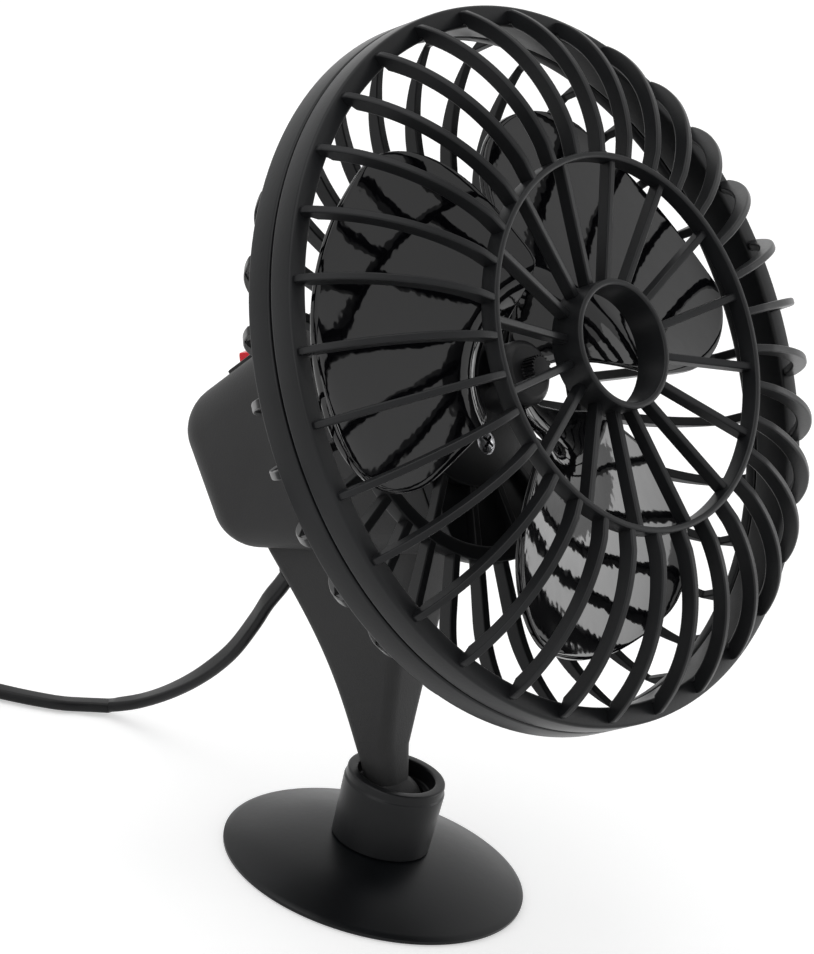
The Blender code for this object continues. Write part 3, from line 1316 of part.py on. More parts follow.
def centre_on_floor(root):
    """Shift the whole unit so that the origin is under the middle of everything but the cord."""
    bpy.context.view_layer.update()
    depsgraph = bpy.context.evaluated_depsgraph_get()
    corners = []
    for item in bpy.data.objects:
        on_cord = item.name.startswith(("power_cord", "cord_tie", "plug_"))
        if item.type != "MESH" or item.hide_render or on_cord:
            continue
        shaped = item.evaluated_get(depsgraph)
        corners += [item.matrix_world @ vertex.co for vertex in shaped.to_mesh().vertices]
        shaped.to_mesh_clear()
    for axis in (0, 1):
        values = [corner[axis] for corner in corners]
        root.location[axis] = -(min(values) + max(values)) / 2
    bpy.context.view_layer.update()


def build():
    """Put the whole fan together."""
    clear_scene()
    unit = empty("car_fan")
    suction_cup(unit)
    socket_collar(unit)
    ball = empty("ball_centre", unit, (0, 0, BALL_HEIGHT), (-radians(HEAD_TILT), 0, 0))
    lean = empty("head_lean", ball, rotation=(0, -radians(HEAD_LEAN), 0))
    fan = empty("fan_axis", lean, (0, -FAN_REACH, FAN_RISE), (pi / 2, 0, 0))
    stalk(fan)
    motor_housing(fan)
    rear_guard(fan)
    front_guard(fan)
    guard_screws(fan)
    motor_can(fan)
    motor_fittings(fan)
    spin = empty("spin_axis", fan)
    propeller(spin)
    rotor(spin)
    rocker_switch(fan)
    exit_frame = strain_relief(fan)
    end, heading = cord(unit, exit_frame)
    plug(unit, end, heading)
    centre_on_floor(unit)


build()
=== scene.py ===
from math import asin, atan2, cos, pi, radians, sin, sqrt

import bmesh
import bpy
from mathutils import Matrix, Vector


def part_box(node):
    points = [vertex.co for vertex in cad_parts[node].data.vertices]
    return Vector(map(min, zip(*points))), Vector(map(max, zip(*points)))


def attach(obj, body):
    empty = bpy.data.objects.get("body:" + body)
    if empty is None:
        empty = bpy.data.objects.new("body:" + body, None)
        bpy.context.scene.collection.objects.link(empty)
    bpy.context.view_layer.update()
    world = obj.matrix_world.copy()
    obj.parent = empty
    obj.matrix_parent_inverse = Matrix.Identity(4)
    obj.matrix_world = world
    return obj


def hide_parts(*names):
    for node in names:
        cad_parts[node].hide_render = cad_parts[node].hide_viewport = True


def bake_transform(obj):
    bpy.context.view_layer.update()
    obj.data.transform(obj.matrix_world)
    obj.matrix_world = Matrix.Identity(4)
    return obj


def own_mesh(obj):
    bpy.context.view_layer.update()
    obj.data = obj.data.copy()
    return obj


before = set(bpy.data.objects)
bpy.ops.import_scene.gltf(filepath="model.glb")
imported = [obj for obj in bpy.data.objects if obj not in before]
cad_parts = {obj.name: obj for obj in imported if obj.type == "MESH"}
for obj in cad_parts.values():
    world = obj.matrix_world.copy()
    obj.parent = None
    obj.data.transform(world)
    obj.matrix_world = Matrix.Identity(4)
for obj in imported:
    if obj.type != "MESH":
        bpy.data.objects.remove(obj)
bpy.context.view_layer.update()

scene = bpy.context.scene
scene.view_settings.view_transform = "Standard"

# Camera. It looks down on the fan from its right, rolled a little, as in the photograph.
# Every place in it is counted from the foot of the suction cup's axis.
cup_low, cup_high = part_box("suction_cup")
FOOT = Vector(((cup_low.x + cup_high.x) / 2, (cup_low.y + cup_high.y) / 2, 0))
CAMERA_PLACE = FOOT + Vector((-0.609456, -0.465978, 0.384209))
CAMERA_RIGHT = Vector((0.672, -0.704, 0.228)).normalized()
CAMERA_BACK = Vector((-0.729, -0.576, 0.370)).normalized()


def placed(name, data):
    """Put an object with this data into the scene."""
    made = bpy.data.objects.new(name, data)
    scene.collection.objects.link(made)
    return made


camera = placed("camera", bpy.data.cameras.new("camera"))
camera.data.sensor_fit = "VERTICAL"
camera.data.sensor_height = 36
camera.data.lens = 170.3
camera.data.shift_x = 0.0021
camera.data.shift_y = -0.0005
camera.data.clip_start = 0.05
camera.data.clip_end = 40
camera_up = CAMERA_BACK.cross(CAMERA_RIGHT).normalized()
camera_turn = Matrix((CAMERA_RIGHT, camera_up, CAMERA_BACK)).transposed().to_4x4()
camera.matrix_world = Matrix.Translation(CAMERA_PLACE) @ camera_turn
scene.camera = camera

# Table and studio. A pale table under a bright sky of soft white, with three soft boxes round the fan.
# The camera and the gloss see the studio as white. The table keeps the soft shadow under the fan.
TABLE_RADIUS = 9
TABLE_GAP = 0.0002
TABLE_LIFT = (0.0, 0.45)
SKY_LIFT = (0.55, 1.0)


def mesh_data(name, mesh):
    """Turn a bmesh into mesh data, and free it."""
    data = bpy.data.meshes.new(name)
    mesh.to_mesh(data)
    mesh.free()
    return data


def feed(tree, node, inputs):
    """Give each named input of a node a plain value, or link another node's output to it."""
    for label, value in inputs.items():
        if isinstance(value, bpy.types.NodeSocket):
            tree.links.new(value, node.inputs[label])
        else:
            node.inputs[label].default_value = value


def add_node(tree, kind, inputs):
    """Add a node and feed its inputs."""
    made = tree.nodes.new(kind)
    feed(tree, made, inputs)
    return made


def studio_white(tree, lift):
    """A strength that is raised for what the camera and the gloss see, and low for the light it throws."""
    path = tree.nodes.new("ShaderNodeLightPath")
    seen = path.outputs["Is Camera Ray"]
    for kind in ("Is Glossy Ray", "Is Transmission Ray"):
        either = add_node(tree, "ShaderNodeMath", {0: seen, 1: path.outputs[kind]})
        either.operation = "MAXIMUM"
        seen = either.outputs[0]
    scaled = add_node(tree, "ShaderNodeMapRange", {"Value": seen, "To Min": lift[0], "To Max": lift[1]})
    return scaled.outputs["Result"]


table_mesh = bmesh.new()
bmesh.ops.create_circle(table_mesh, cap_ends=True, segments=96, radius=TABLE_RADIUS)
table = placed("table", mesh_data("table", table_mesh))
table.location = (0, 0, -TABLE_GAP)
table_skin = bpy.data.materials.new("table_white")
table_skin.use_nodes = True
table_tree = table_skin.node_tree
feed(table_tree, table_tree.nodes["Principled BSDF"], {
    "Base Color": (0.80, 0.80, 0.80, 1),
    "Roughness": 0.7,
    "Specular IOR Level": 0.2,
    "Emission Color": (1, 1, 1, 1),
    "Emission Strength": studio_white(table_tree, TABLE_LIFT),
})
table.data.materials.append(table_skin)

sky = bpy.data.worlds.new("studio")
scene.world = sky
sky.use_nodes = True
sky_strength = studio_white(sky.node_tree, SKY_LIFT)
feed(sky.node_tree, sky.node_tree.nodes["Background"], {"Color": (1, 1, 1, 1), "Strength": sky_strength})

for name, place, aim, size, power in (
    ("softbox_above", (-0.25, 0.15, 1.30), (0, 0, 0.10), 1.20, 5.5),
    ("softbox_right", (1.07, -0.57, 0.25), (0, 0, 0.10), 0.50, 2.0),
    ("softbox_left", (-1.20, -0.10, 0.65), (0, 0, 0.08), 1.00, 3.2),
):
    lamp = bpy.data.lights.new(name, "AREA")
    lamp.shape = "SQUARE"
    lamp.size = size
    lamp.energy = power
    box = placed(name, lamp)
    box.location = place
    box.rotation_euler = (Vector(aim) - Vector(place)).to_track_quat("-Z", "Y").to_euler()

# Motor housing. It is a shell of charcoal plastic with a fine matte texture and large round corners.
# Its top and bottom draw in towards the softly rounded back, and the window for the switch is cut in its top.
HAIR = 0.0003
BALL_HEIGHT = 0.0138
BALL_DOWN, BALL_BACK = 0.0705, 0.0712
HEAD_TILT, HEAD_LEAN = radians(36.3), radians(8.7)
FAN = (
    Matrix.Translation(FOOT + Vector((0, 0, BALL_HEIGHT)))
    @ Matrix.Rotation(-HEAD_TILT, 4, "X")
    @ Matrix.Rotation(-HEAD_LEAN, 4, "Y")
    @ Matrix.Translation((0, -BALL_BACK, BALL_DOWN))
    @ Matrix.Rotation(pi / 2, 4, "X")
)
HOUSING_FRONT, HOUSING_BACK = -0.0223, -0.0792
HOUSING_TOP, HOUSING_BOTTOM, HOUSING_HALF = 0.0265, -0.0280, 0.0150
TOP_DRAFT, BOTTOM_DRAFT, SIDE_DRAFT = 0.0140, 0.0132, 0.0005
HOUSING_CORNER, HOUSING_WALL = 0.0070, 0.0018
BACK_ROUND, BACK_ROUND_INSIDE = 0.0080, 0.0062
HOUSING_STRAIGHT = 0.0485
WINDOW_HALF, WINDOW_REACH, SWITCH_DEPTH = 0.0044, 0.0069, -0.0613


def moulded_finish():
    """A node group for moulded plastic and rubber: cloudy colour, uneven gloss and a fine skin."""
    group = bpy.data.node_groups.new("moulded_finish", "ShaderNodeTree")
    for way, kind, labels in (
        ("INPUT", "NodeSocketColor", ("Color", "Pale Color")),
        ("INPUT", "NodeSocketFloat", ("Cloud Size", "Grain Size", "Roughness Low", "Roughness High")),
        ("OUTPUT", "NodeSocketColor", ("Color",)),
        ("OUTPUT", "NodeSocketFloat", ("Roughness", "Grain")),
    ):
        for label in labels:
            group.interface.new_socket(label, in_out=way, socket_type=kind)
    given = group.nodes.new("NodeGroupInput").outputs
    place = group.nodes.new("ShaderNodeTexCoord").outputs["Object"]
    cloud_inputs = {"Vector": place, "Scale": given["Cloud Size"], "Detail": 4}
    cloud = add_node(group, "ShaderNodeTexNoise", cloud_inputs).outputs["Fac"]
    grain_inputs = {"Vector": place, "Scale": given["Grain Size"], "Detail": 3, "Roughness": 0.6}
    grain = add_node(group, "ShaderNodeTexNoise", grain_inputs).outputs["Fac"]
    spread_inputs = {"Value": cloud, "From Min": 0.35, "From Max": 0.68}
    spread = add_node(group, "ShaderNodeMapRange", spread_inputs).outputs["Result"]
    tint = group.nodes.new("ShaderNodeMix")
    tint.data_type = "RGBA"
    feed(group, tint, {"Factor": spread, "A": given["Color"], "B": given["Pale Color"]})
    half_cloud = add_node(group, "ShaderNodeMath", {0: spread, 1: 0.5})
    half_cloud.operation = "MULTIPLY"
    both = add_node(group, "ShaderNodeMath", {0: grain, 1: 0.5, 2: half_cloud.outputs[0]})
    both.operation = "MULTIPLY_ADD"
    low, high = given["Roughness Low"], given["Roughness High"]
    rough_inputs = {"Value": both.outputs[0], "To Min": low, "To Max": high}
    rough = add_node(group, "ShaderNodeMapRange", rough_inputs).outputs["Result"]
    finish = {"Color": tint.outputs["Result"], "Roughness": rough, "Grain": grain}
    add_node(group, "NodeGroupOutput", finish)
    return group


MOULDED = moulded_finish()


def moulded(name, colour, pale, cloud, grain, rough, bump, metallic=0.0, shine=0.5):
    """A moulded material with its own colours, grain size, roughness range, depth of grain and shine."""
    made = bpy.data.materials.new(name)
    made.use_nodes = True
    tree = made.node_tree
    skin = tree.nodes.new("ShaderNodeGroup")
    skin.node_tree = MOULDED
    feed(tree, skin, {
        "Color": (*colour, 1),
        "Pale Color": (*pale, 1),
        "Cloud Size": cloud,
        "Grain Size": grain,
        "Roughness Low": rough[0],
        "Roughness High": rough[1],
    })
    dimple_inputs = {"Strength": 1.0, "Distance": bump, "Height": skin.outputs["Grain"]}
    dimple = add_node(tree, "ShaderNodeBump", dimple_inputs)
    feed(tree, tree.nodes["Principled BSDF"], {
        "Base Color": skin.outputs["Color"],
        "Roughness": skin.outputs["Roughness"],
        "Normal": dimple.outputs["Normal"],
        "Metallic": metallic,
        "Specular IOR Level": shine,
    })
    return made


def round_edges(piece, width, angle):
    """Round a piece's edges where its faces meet at more than the angle."""
    rounding = piece.modifiers.new("rounding", "BEVEL")
    rounding.width = width
    rounding.segments = 2
    rounding.limit_method = "ANGLE"
    rounding.angle_limit = radians(angle)
    rounding.harden_normals = True


def shaped(name, mesh, material, body, replaced, pose=None, crease=35, edge=0.0):
    """Make a piece of a mesh, round its edges, and let it ride on its body in place of its CAD nodes."""
    if pose is not None:
        bmesh.ops.transform(mesh, matrix=pose, verts=mesh.verts)
    bmesh.ops.recalc_face_normals(mesh, faces=mesh.faces)
    made = placed(name, mesh_data(name, mesh))
    made.data.shade_smooth()
    made.data.materials.append(material)
    if edge:
        round_edges(made, edge, crease)
    else:
        made.data.set_sharp_from_angle(angle=radians(crease))
    if body:
        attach(made, body)
    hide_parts(*replaced)
    return made


def rectangle(half_width, low, high):
    """Outline of a rectangle, anticlockwise from its lower left corner."""
    return [(-half_width, low), (half_width, low), (half_width, high), (-half_width, high)]


def soft_box(half_width, low, high, radius, per_corner):
    """Outline of a box with round corners, anticlockwise from its right side."""
    made = []
    up, down = high - radius, low + radius
    for start, side, y in ((0, 1, up), (90, -1, up), (180, -1, down), (270, 1, down)):
        x = side * (half_width - radius)
        for i in range(per_corner):
            turn = radians(start + 90 * i / (per_corner - 1))
            made.append((x + radius * cos(turn), y + radius * sin(turn)))
    return made


def skinned(rings, closed=False):
    """Skin rings of equal count, capped at both ends or closed back on the first."""
    mesh = bmesh.new()
    rows = [[mesh.verts.new(point) for point in ring] for ring in rings]
    count = len(rows[0])
    pairs = list(zip(rows, rows[1:]))
    if closed:
        pairs.append((rows[-1], rows[0]))
    for low, high in pairs:
        for i in range(count):
            after = (i + 1) % count
            mesh.faces.new((low[i], low[after], high[after], high[i]))
    if not closed:
        mesh.faces.new(rows[0])
        mesh.faces.new(rows[-1])
    return mesh


def prism(outline, low, high, mesh=None, pose=None):
    """A prism on an (x, y) outline from low to high along Z."""
    mesh = mesh or bmesh.new()
    base = [mesh.verts.new((x, y, low)) for x, y in outline]
    grown = bmesh.ops.extrude_face_region(mesh, geom=[mesh.faces.new(base)])["geom"]
    raised = [item for item in grown if isinstance(item, bmesh.types.BMVert)]
    bmesh.ops.translate(mesh, verts=raised, vec=(0, 0, high - low))
    if pose is not None:
        bmesh.ops.transform(mesh, matrix=pose, verts=base + raised)
    return mesh


def cut_away(target, tool_mesh, pose, join=False):
    """Cut a shape out of a piece, or join it on, for good."""
    bmesh.ops.transform(tool_mesh, matrix=pose, verts=tool_mesh.verts)
    bmesh.ops.recalc_face_normals(tool_mesh, faces=tool_mesh.faces)
    tool = placed("cutter", mesh_data("cutter", tool_mesh))
    plain = placed("plain", target.data)
    cut = plain.modifiers.new("cut", "BOOLEAN")
    cut.operation = "UNION" if join else "DIFFERENCE"
    cut.solver = "EXACT"
    cut.object = tool
    bpy.context.view_layer.update()
    made = bpy.data.meshes.new_from_object(plain.evaluated_get(bpy.context.evaluated_depsgraph_get()))
    bpy.data.objects.remove(plain)
    bpy.data.objects.remove(tool)
    target.data = made


def toward_back(z):
    """How far a depth lies from the housing's front, 0, to its back, 1."""
    return (HOUSING_FRONT - z) / (HOUSING_FRONT - HOUSING_BACK)


def housing_edge(z, side):
    """Height of the housing's top, side 1, or of its bottom, side -1, at depth z."""
    if side > 0:
        return HOUSING_TOP - TOP_DRAFT * toward_back(z)
    return HOUSING_BOTTOM + BOTTOM_DRAFT * toward_back(z)


def housing_outline(z, inset, per_corner=10):
    """Outline of the housing at depth z, drawn in by inset."""
    half = HOUSING_HALF - SIDE_DRAFT * toward_back(z) - inset
    low, high = housing_edge(z, -1) + inset, housing_edge(z, 1) - inset
    corner = max(HOUSING_CORNER - inset, 0.0006)
    return [(x, y, z) for x, y in soft_box(half, low, high, corner, per_corner)]


shell_rings = []
for i in range(12, -1, -1):
    turn = pi / 2 * i / 12
    depth = HOUSING_BACK + BACK_ROUND * (1 - sin(turn))
    shell_rings.append(housing_outline(depth, BACK_ROUND * (1 - cos(turn))))
for i in range(1, 6):
    shell_rings.append(housing_outline(HOUSING_BACK + BACK_ROUND + HOUSING_STRAIGHT * i / 5, 0))
shell_rings.append(housing_outline(HOUSING_FRONT - 0.0001, 0.0001))
shell_rings.append(housing_outline(HOUSING_FRONT, 0.0004))
shell_rings.append(housing_outline(HOUSING_FRONT, HOUSING_WALL))
for i in range(7):
    turn = pi / 2 * i / 6
    depth = HOUSING_BACK + BACK_ROUND - BACK_ROUND_INSIDE * sin(turn)
    shell_rings.append(housing_outline(depth, HOUSING_WALL + BACK_ROUND_INSIDE * (1 - cos(turn))))
charcoal = moulded(
    "housing_charcoal_plastic", (0.0290, 0.0290, 0.0295), (0.0380, 0.0380, 0.0385),
    35, 2600, (0.50, 0.62), 0.00006, shine=0.18,
)
housing_mesh = skinned(shell_rings)
housing = shaped("motor_box", housing_mesh, charcoal, "head", ["motor_housing"], FAN)
switch_slope = atan2(TOP_DRAFT, HOUSING_FRONT - HOUSING_BACK)
SWITCH = (
    FAN
    @ Matrix.Translation((0, housing_edge(SWITCH_DEPTH, 1) + HAIR, SWITCH_DEPTH))
    @ Matrix.Rotation(-pi / 2 - switch_slope, 4, "X")
)
cut_away(housing, prism(rectangle(WINDOW_HALF, -WINDOW_REACH, WINDOW_REACH), -0.0030, 0.0010), SWITCH)
housing.data.set_sharp_from_angle(angle=radians(40))

# Stalk. It is a gusset of the same charcoal plastic, as wide as half the housing and bowed in at its back.
# It narrows to a neck and ends in the ball, and its edges are rounded.
BALL_RADIUS = 0.0063
NECK_TILT = radians(19)
NECK_HALF = 0.0042
NECK_LENGTH = 0.0103
NECK_FOOT_RADIUS = 0.0040
STALK_WIDTH, STALK_TAPER, STALK_SWELL, STALK_CORNER = 0.0150, 0.0066, 0.0011, 0.0026
STALK_FRONT, FRONT_BOW = HOUSING_FRONT - 0.0137, 0.0006
STALK_BACK, BACK_BOW = HOUSING_BACK + 0.0062, 0.0032
STALK_STEPS, BALL_STEPS = 40, 16
ball = Vector((0, -BALL_DOWN, -BALL_BACK))
neck_along = Vector((0, cos(NECK_TILT), sin(NECK_TILT)))
neck_across = Vector((0, -sin(NECK_TILT), cos(NECK_TILT)))
neck = ball + neck_along * NECK_LENGTH


def stalk_edge(down, side):
    """Depth of the stalk's front edge, side 1, or of its bowed back edge, side -1."""
    top, bow = (STALK_FRONT, FRONT_BOW) if side > 0 else (STALK_BACK, BACK_BOW)
    return top + (neck.z + side * NECK_HALF - top) * down + bow * sin(pi * down)


def stalk_level(z, down):
    """Height on the stalk at a depth. Its sections turn level from the sloping housing to the neck."""
    top = housing_edge(z, -1) - HAIR
    return top + (neck.y - top) * down


stalk_rings = []
for i in range(STALK_STEPS + 1):
    down = i / STALK_STEPS
    half = (STALK_WIDTH - STALK_TAPER * down * (3 - down) / 2) / 2 + STALK_SWELL * sin(pi * down) ** 0.8
    outline = soft_box(half, stalk_edge(down, -1), stalk_edge(down, 1), STALK_CORNER, 8)
    stalk_rings.append([(x, stalk_level(z, down), z) for x, z in outline])
turns = [atan2(p[2] - neck.z, p[0]) for p in stalk_rings[-1]]
meet = asin(NECK_FOOT_RADIUS / BALL_RADIUS)
for i in range(BALL_STEPS):
    polar = meet + (pi - meet) * i / (BALL_STEPS + 0.3)
    middle = ball + neck_along * BALL_RADIUS * cos(polar)
    radius = BALL_RADIUS * sin(polar)
    stalk_rings.append([middle + (Vector((cos(t), 0, 0)) + neck_across * sin(t)) * radius for t in turns])
shaped("neck_gusset", skinned(stalk_rings), charcoal, "head", ["stalk"], FAN)

# Rocker switch. Its frame and box are satin black plastic, pushed into the housing's window.
# The rocker is satin red plastic, dished a little along its top, and rocks on a pin through the frame.
ROCKER_REACH, ROCKER_RISE, ROCKER_HALF, ROCKER_DISH = 0.0055, 0.0032, 0.0030, 0.0008
ROCKER_UNDER, ROCKER_FLAT = -0.0016, 0.00275
FRAME_HALF, FRAME_REACH = 0.0050, 0.0075
BOX_HALF, BOX_REACH = 0.0041, 0.0066
WELL_HALF, WELL_REACH = 0.0033, 0.0058
ROCKER = SWITCH @ Matrix.Translation((0, 0, -0.0009)) @ Matrix.Rotation(radians(7), 4, "X")
ON_EDGE = Matrix(((0, 0, 1, 0), (1, 0, 0, 0), (0, 1, 0, 0), (0, 0, 0, 1)))
guard_satin = moulded(
    "guard_satin_plastic", (0.0062, 0.0065, 0.0072), (0.0110, 0.0115, 0.0125),
    45, 1500, (0.28, 0.40), 0.000018, shine=0.20,
)
plate_mesh = prism(soft_box(FRAME_HALF, -FRAME_REACH, FRAME_REACH, 0.0010, 6), -0.00028, 0.0010)
switch_frame = shaped("switch_frame", plate_mesh, guard_satin, "head", ["switch_body"], SWITCH)
switch_box = prism(rectangle(BOX_HALF, -BOX_REACH, BOX_REACH), -0.0090, 0.0005)
cut_away(switch_frame, switch_box, SWITCH, join=True)
switch_well = prism(soft_box(WELL_HALF, -WELL_REACH, WELL_REACH, 0.0003, 3), -0.0050, 0.0030)
cut_away(switch_frame, switch_well, SWITCH)
round_edges(switch_frame, 0.0002, 50)
end_turns = [asin(ROCKER_RISE / ROCKER_REACH) * i / 8 for i in range(9)]
rocker_end = [(ROCKER_REACH * cos(t), ROCKER_REACH * sin(t)) for t in end_turns]
rocker_top = []
for i in range(1, 24):
    share = 1 - i / 12
    rocker_top.append((rocker_end[-1][0] * share, ROCKER_RISE - ROCKER_DISH * (1 - share * share)))
rocker_under = [
    (-ROCKER_REACH + 0.0006, -0.0008), (-ROCKER_FLAT, ROCKER_UNDER),
    (ROCKER_FLAT, ROCKER_UNDER), (ROCKER_REACH - 0.0006, -0.0008),
]
rocker_outline = rocker_end + rocker_top + [(-y, z) for y, z in rocker_end[::-1]] + rocker_under
rocker_red = moulded(
    "rocker_red_plastic", (0.72, 0.004, 0.018), (0.80, 0.006, 0.024),
    200, 3000, (0.16, 0.24), 0.000004, shine=0.25,
)
rocker_mesh = prism(rocker_outline, -ROCKER_HALF, ROCKER_HALF, pose=ON_EDGE)
shaped("rocker_key", rocker_mesh, rocker_red, "rocker_body", ["rocker"], ROCKER, edge=0.0002)
tinned = moulded(
    "terminal_brass", (0.66, 0.52, 0.28), (0.74, 0.60, 0.36),
    300, 1500, (0.24, 0.36), 0.000004, 1.0,
)


def dress(material, *names):
    """Give CAD nodes whose shape stays their own material."""
    for name in names:
        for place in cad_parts[name].material_slots:
            place.material = material


dress(tinned, "switch_terminal_front", "switch_terminal_rear")

# Rear guard. It is one moulding of satin black plastic: a rim, a bowl of ribs, a ring and the motor plate.
# Each rib stands a little proud of the rim's back edge, and all its edges are lightly rounded.
RIM_RADIUS, RIM_INSIDE = 0.0650, 0.0612
RIB_COUNT = 32
REAR_LAP, REAR_LAP_DEPTH, REAR_RIM_BACK = 0.0626, -0.0031, -0.0054
REAR_RIB_THICK, REAR_ARM_THICK = 0.0017, 0.0015
REAR_CROWN, REAR_CROWN_BACK, REAR_CROWN_FRONT = 0.0420, 0.0199, 0.0169
REAR_RING_MIDDLE = 0.03005


def turned(profile, steps, closed=True, mesh=None):
    """Turn a profile of (radius, height) points about Z. A closed profile makes a ring."""
    mesh = mesh or bmesh.new()
    points = [mesh.verts.new((r, 0, z)) for r, z in profile]
    pairs = list(zip(points, points[1:]))
    if closed:
        pairs.append((points[-1], points[0]))
    edges = [mesh.edges.new(pair) for pair in pairs]
    bmesh.ops.spin(mesh, geom=points + edges, cent=(0, 0, 0), axis=(0, 0, 1), angle=2 * pi, steps=steps)
    bmesh.ops.remove_doubles(mesh, verts=mesh.verts, dist=0.000004)
    return mesh


def rounded(profile, radius, closed=True, steps=3):
    """Round the corners of a (radius, height) profile, and leave the points on the axis alone."""
    made = []
    count = len(profile)
    for i, here in enumerate(profile):
        at_end = not closed and i in (0, count - 1)
        if at_end or here[0] == 0:
            made.append(here)
            continue
        p = Vector(here)
        a = Vector(profile[i - 1]) - p
        b = Vector(profile[(i + 1) % count]) - p
        reach = min(radius, a.length * 0.45, b.length * 0.45)
        start, end = p + a.normalized() * reach, p + b.normalized() * reach
        for j in range(steps + 1):
            t = j / steps
            made.append(tuple(start * (1 - t) ** 2 + p * 2 * t * (1 - t) + end * t**2))
    return made


def hoop(mesh, inner, outer, low, high, steps):
    """A ring with a rectangular section and lightly rounded corners."""
    section = [(inner, low), (outer, low), (outer, high), (inner, high)]
    turned(rounded(section, 0.0004), steps, mesh=mesh)


def crown_arc(end_radius, end_height, crown_radius, crown_height, steps, dip=0.0):
    """The arc that runs level over the crown, from the end point up to it, and dips under it midway."""
    drop = crown_height - end_height
    reach = end_radius - crown_radius
    bend = (reach**2 + drop**2) / (2 * drop)
    span = atan2(reach, bend - drop)
    made = []
    for i in range(steps + 1):
        t = span * (1 - i / steps)
        out = bend - dip * sin(pi * i / steps)
        made.append((crown_radius + out * sin(t), crown_height - bend + out * cos(t)))
    return made


def rib(mesh, outline, thickness, angle):
    """A flat rib in a plane through the Z axis, drawn in (radius, height), at an angle from up."""
    prism(outline, -thickness / 2, thickness / 2, mesh, Matrix.Rotation(-angle, 4, "Z") @ ON_EDGE)


rear_mesh = bmesh.new()
rear_rim = [
    (REAR_LAP, -HAIR), (RIM_RADIUS, -HAIR), (RIM_RADIUS, REAR_RIM_BACK),
    (RIM_INSIDE, REAR_RIM_BACK), (RIM_INSIDE, REAR_LAP_DEPTH), (REAR_LAP, REAR_LAP_DEPTH),
]
turned(rounded(rear_rim, 0.0005), 192, mesh=rear_mesh)
hoop(rear_mesh, 0.0286, 0.0315, -0.0199, -0.0169, 128)
hoop(rear_mesh, 0.0034, 0.0177, -0.0205, -0.0176, 96)
rear_outer = crown_arc(0.0639, 0.0068, REAR_CROWN, REAR_CROWN_BACK, 24)
rear_inner = [p for p in crown_arc(RIM_RADIUS, 0.0065, REAR_CROWN, REAR_CROWN_FRONT, 30) if p[0] < 0.0616]
rear_rib = [(0.0616, -0.0049), (0.0636, -0.0049), (0.0639, -0.0053)]
rear_rib += [(r, -h) for r, h in rear_outer]
rear_rib += [(REAR_RING_MIDDLE, -0.0197), (REAR_RING_MIDDLE, -0.0171)]
rear_rib += [(r, -h) for r, h in rear_inner[::-1]]
rear_arm = [(0.0172, -0.0200), (0.0300, -0.0197), (0.0300, -0.0174), (0.0172, -0.0179)]
for i in range(RIB_COUNT):
    rib(rear_mesh, rear_rib, REAR_RIB_THICK, 2 * pi * i / RIB_COUNT)
    if i % 2 == 0:
        rib(rear_mesh, rear_arm, REAR_ARM_THICK, 2 * pi * i / RIB_COUNT)
flange = [(x, y) for x, y, _ in housing_outline(HOUSING_FRONT, 0, 8)]
prism(flange, HOUSING_FRONT + HAIR, -0.0195, rear_mesh)
shaped(
    "rear_grille", rear_mesh, guard_satin, "head", ["rear_guard"], FAN,
    crease=38, edge=0.00028,
)

# Front guard. It is the domed grille, one moulding of the same satin black plastic.
# Curved ribs rise from the rim to a middle ring, and straight spokes go down to an open tube.
FRONT_LAP, FRONT_LAP_DEPTH, FRONT_RIM_TOP = 0.0623, -0.0028, 0.0049
FRONT_RIB_THICK = 0.0014
FRONT_CROWN, FRONT_CROWN_TOP, FRONT_CROWN_UNDER = 0.0374, 0.0225, 0.0193
SPOKE_COUNT = 16
SPOKE_ROOT, SPOKE_END = 0.0110, 0.0333
front_mesh = bmesh.new()
front_rim = [
    (RIM_INSIDE, FRONT_LAP_DEPTH), (FRONT_LAP, FRONT_LAP_DEPTH), (FRONT_LAP, 0.0),
    (RIM_RADIUS, 0.0), (RIM_RADIUS, FRONT_RIM_TOP), (RIM_INSIDE, FRONT_RIM_TOP),
]
turned(rounded(front_rim, 0.0006), 192, mesh=front_mesh)
hoop(front_mesh, 0.0327, 0.0339, 0.0187, 0.0223, 160)
hoop(front_mesh, 0.0104, 0.0116, 0.0139, 0.0206, 128)
front_outer = crown_arc(0.0646, FRONT_RIM_TOP, FRONT_CROWN, FRONT_CROWN_TOP, 26, 0.0006)
front_inner = crown_arc(RIM_INSIDE, FRONT_RIM_TOP, FRONT_CROWN, FRONT_CROWN_UNDER, 26, 0.0003)
front_outer[0] = (0.0641, 0.0054)
front_inner[0] = (0.0617, 0.0054)
front_rib = [(0.0618, 0.0039), (0.0641, 0.0039)] + front_outer
front_rib += [(SPOKE_END, 0.0221), (SPOKE_END, 0.0190)] + front_inner[::-1]
spoke = [(SPOKE_ROOT, 0.0151), (SPOKE_END, 0.0186), (SPOKE_END, 0.0213), (SPOKE_ROOT, 0.0178)]
for i in range(RIB_COUNT):
    rib(front_mesh, front_rib, FRONT_RIB_THICK, 2 * pi * (i + 0.5) / RIB_COUNT)
for i in range(SPOKE_COUNT):
    rib(front_mesh, spoke, FRONT_RIB_THICK, 2 * pi * i / SPOKE_COUNT)
shaped(
    "front_grille", front_mesh, guard_satin, "head", ["front_guard"], FAN,
    crease=38, edge=0.00035,
)

# Plate screws. They are plated pan-head screws with a cross recess, sunk in the plate.
# They go through the plate into the housing's bosses.
SCREW_OUT = 0.0099
SCREW_TURN = 0.6
SCREW_SHANK, SCREW_HEAD = 0.0010, 0.0025
HEAD_SEAT, HEAD_SHOULDER, HEAD_CROWN = -0.0185, -0.0180, 0.0010


def dome(radius, foot, rise):
    """The profile of a low dome, from above its edge up to the axis."""
    turns = [pi / 2 * i / 8 for i in range(1, 8)]
    return [(radius * cos(t), foot + rise * sin(t)) for t in turns] + [(0, foot + rise)]


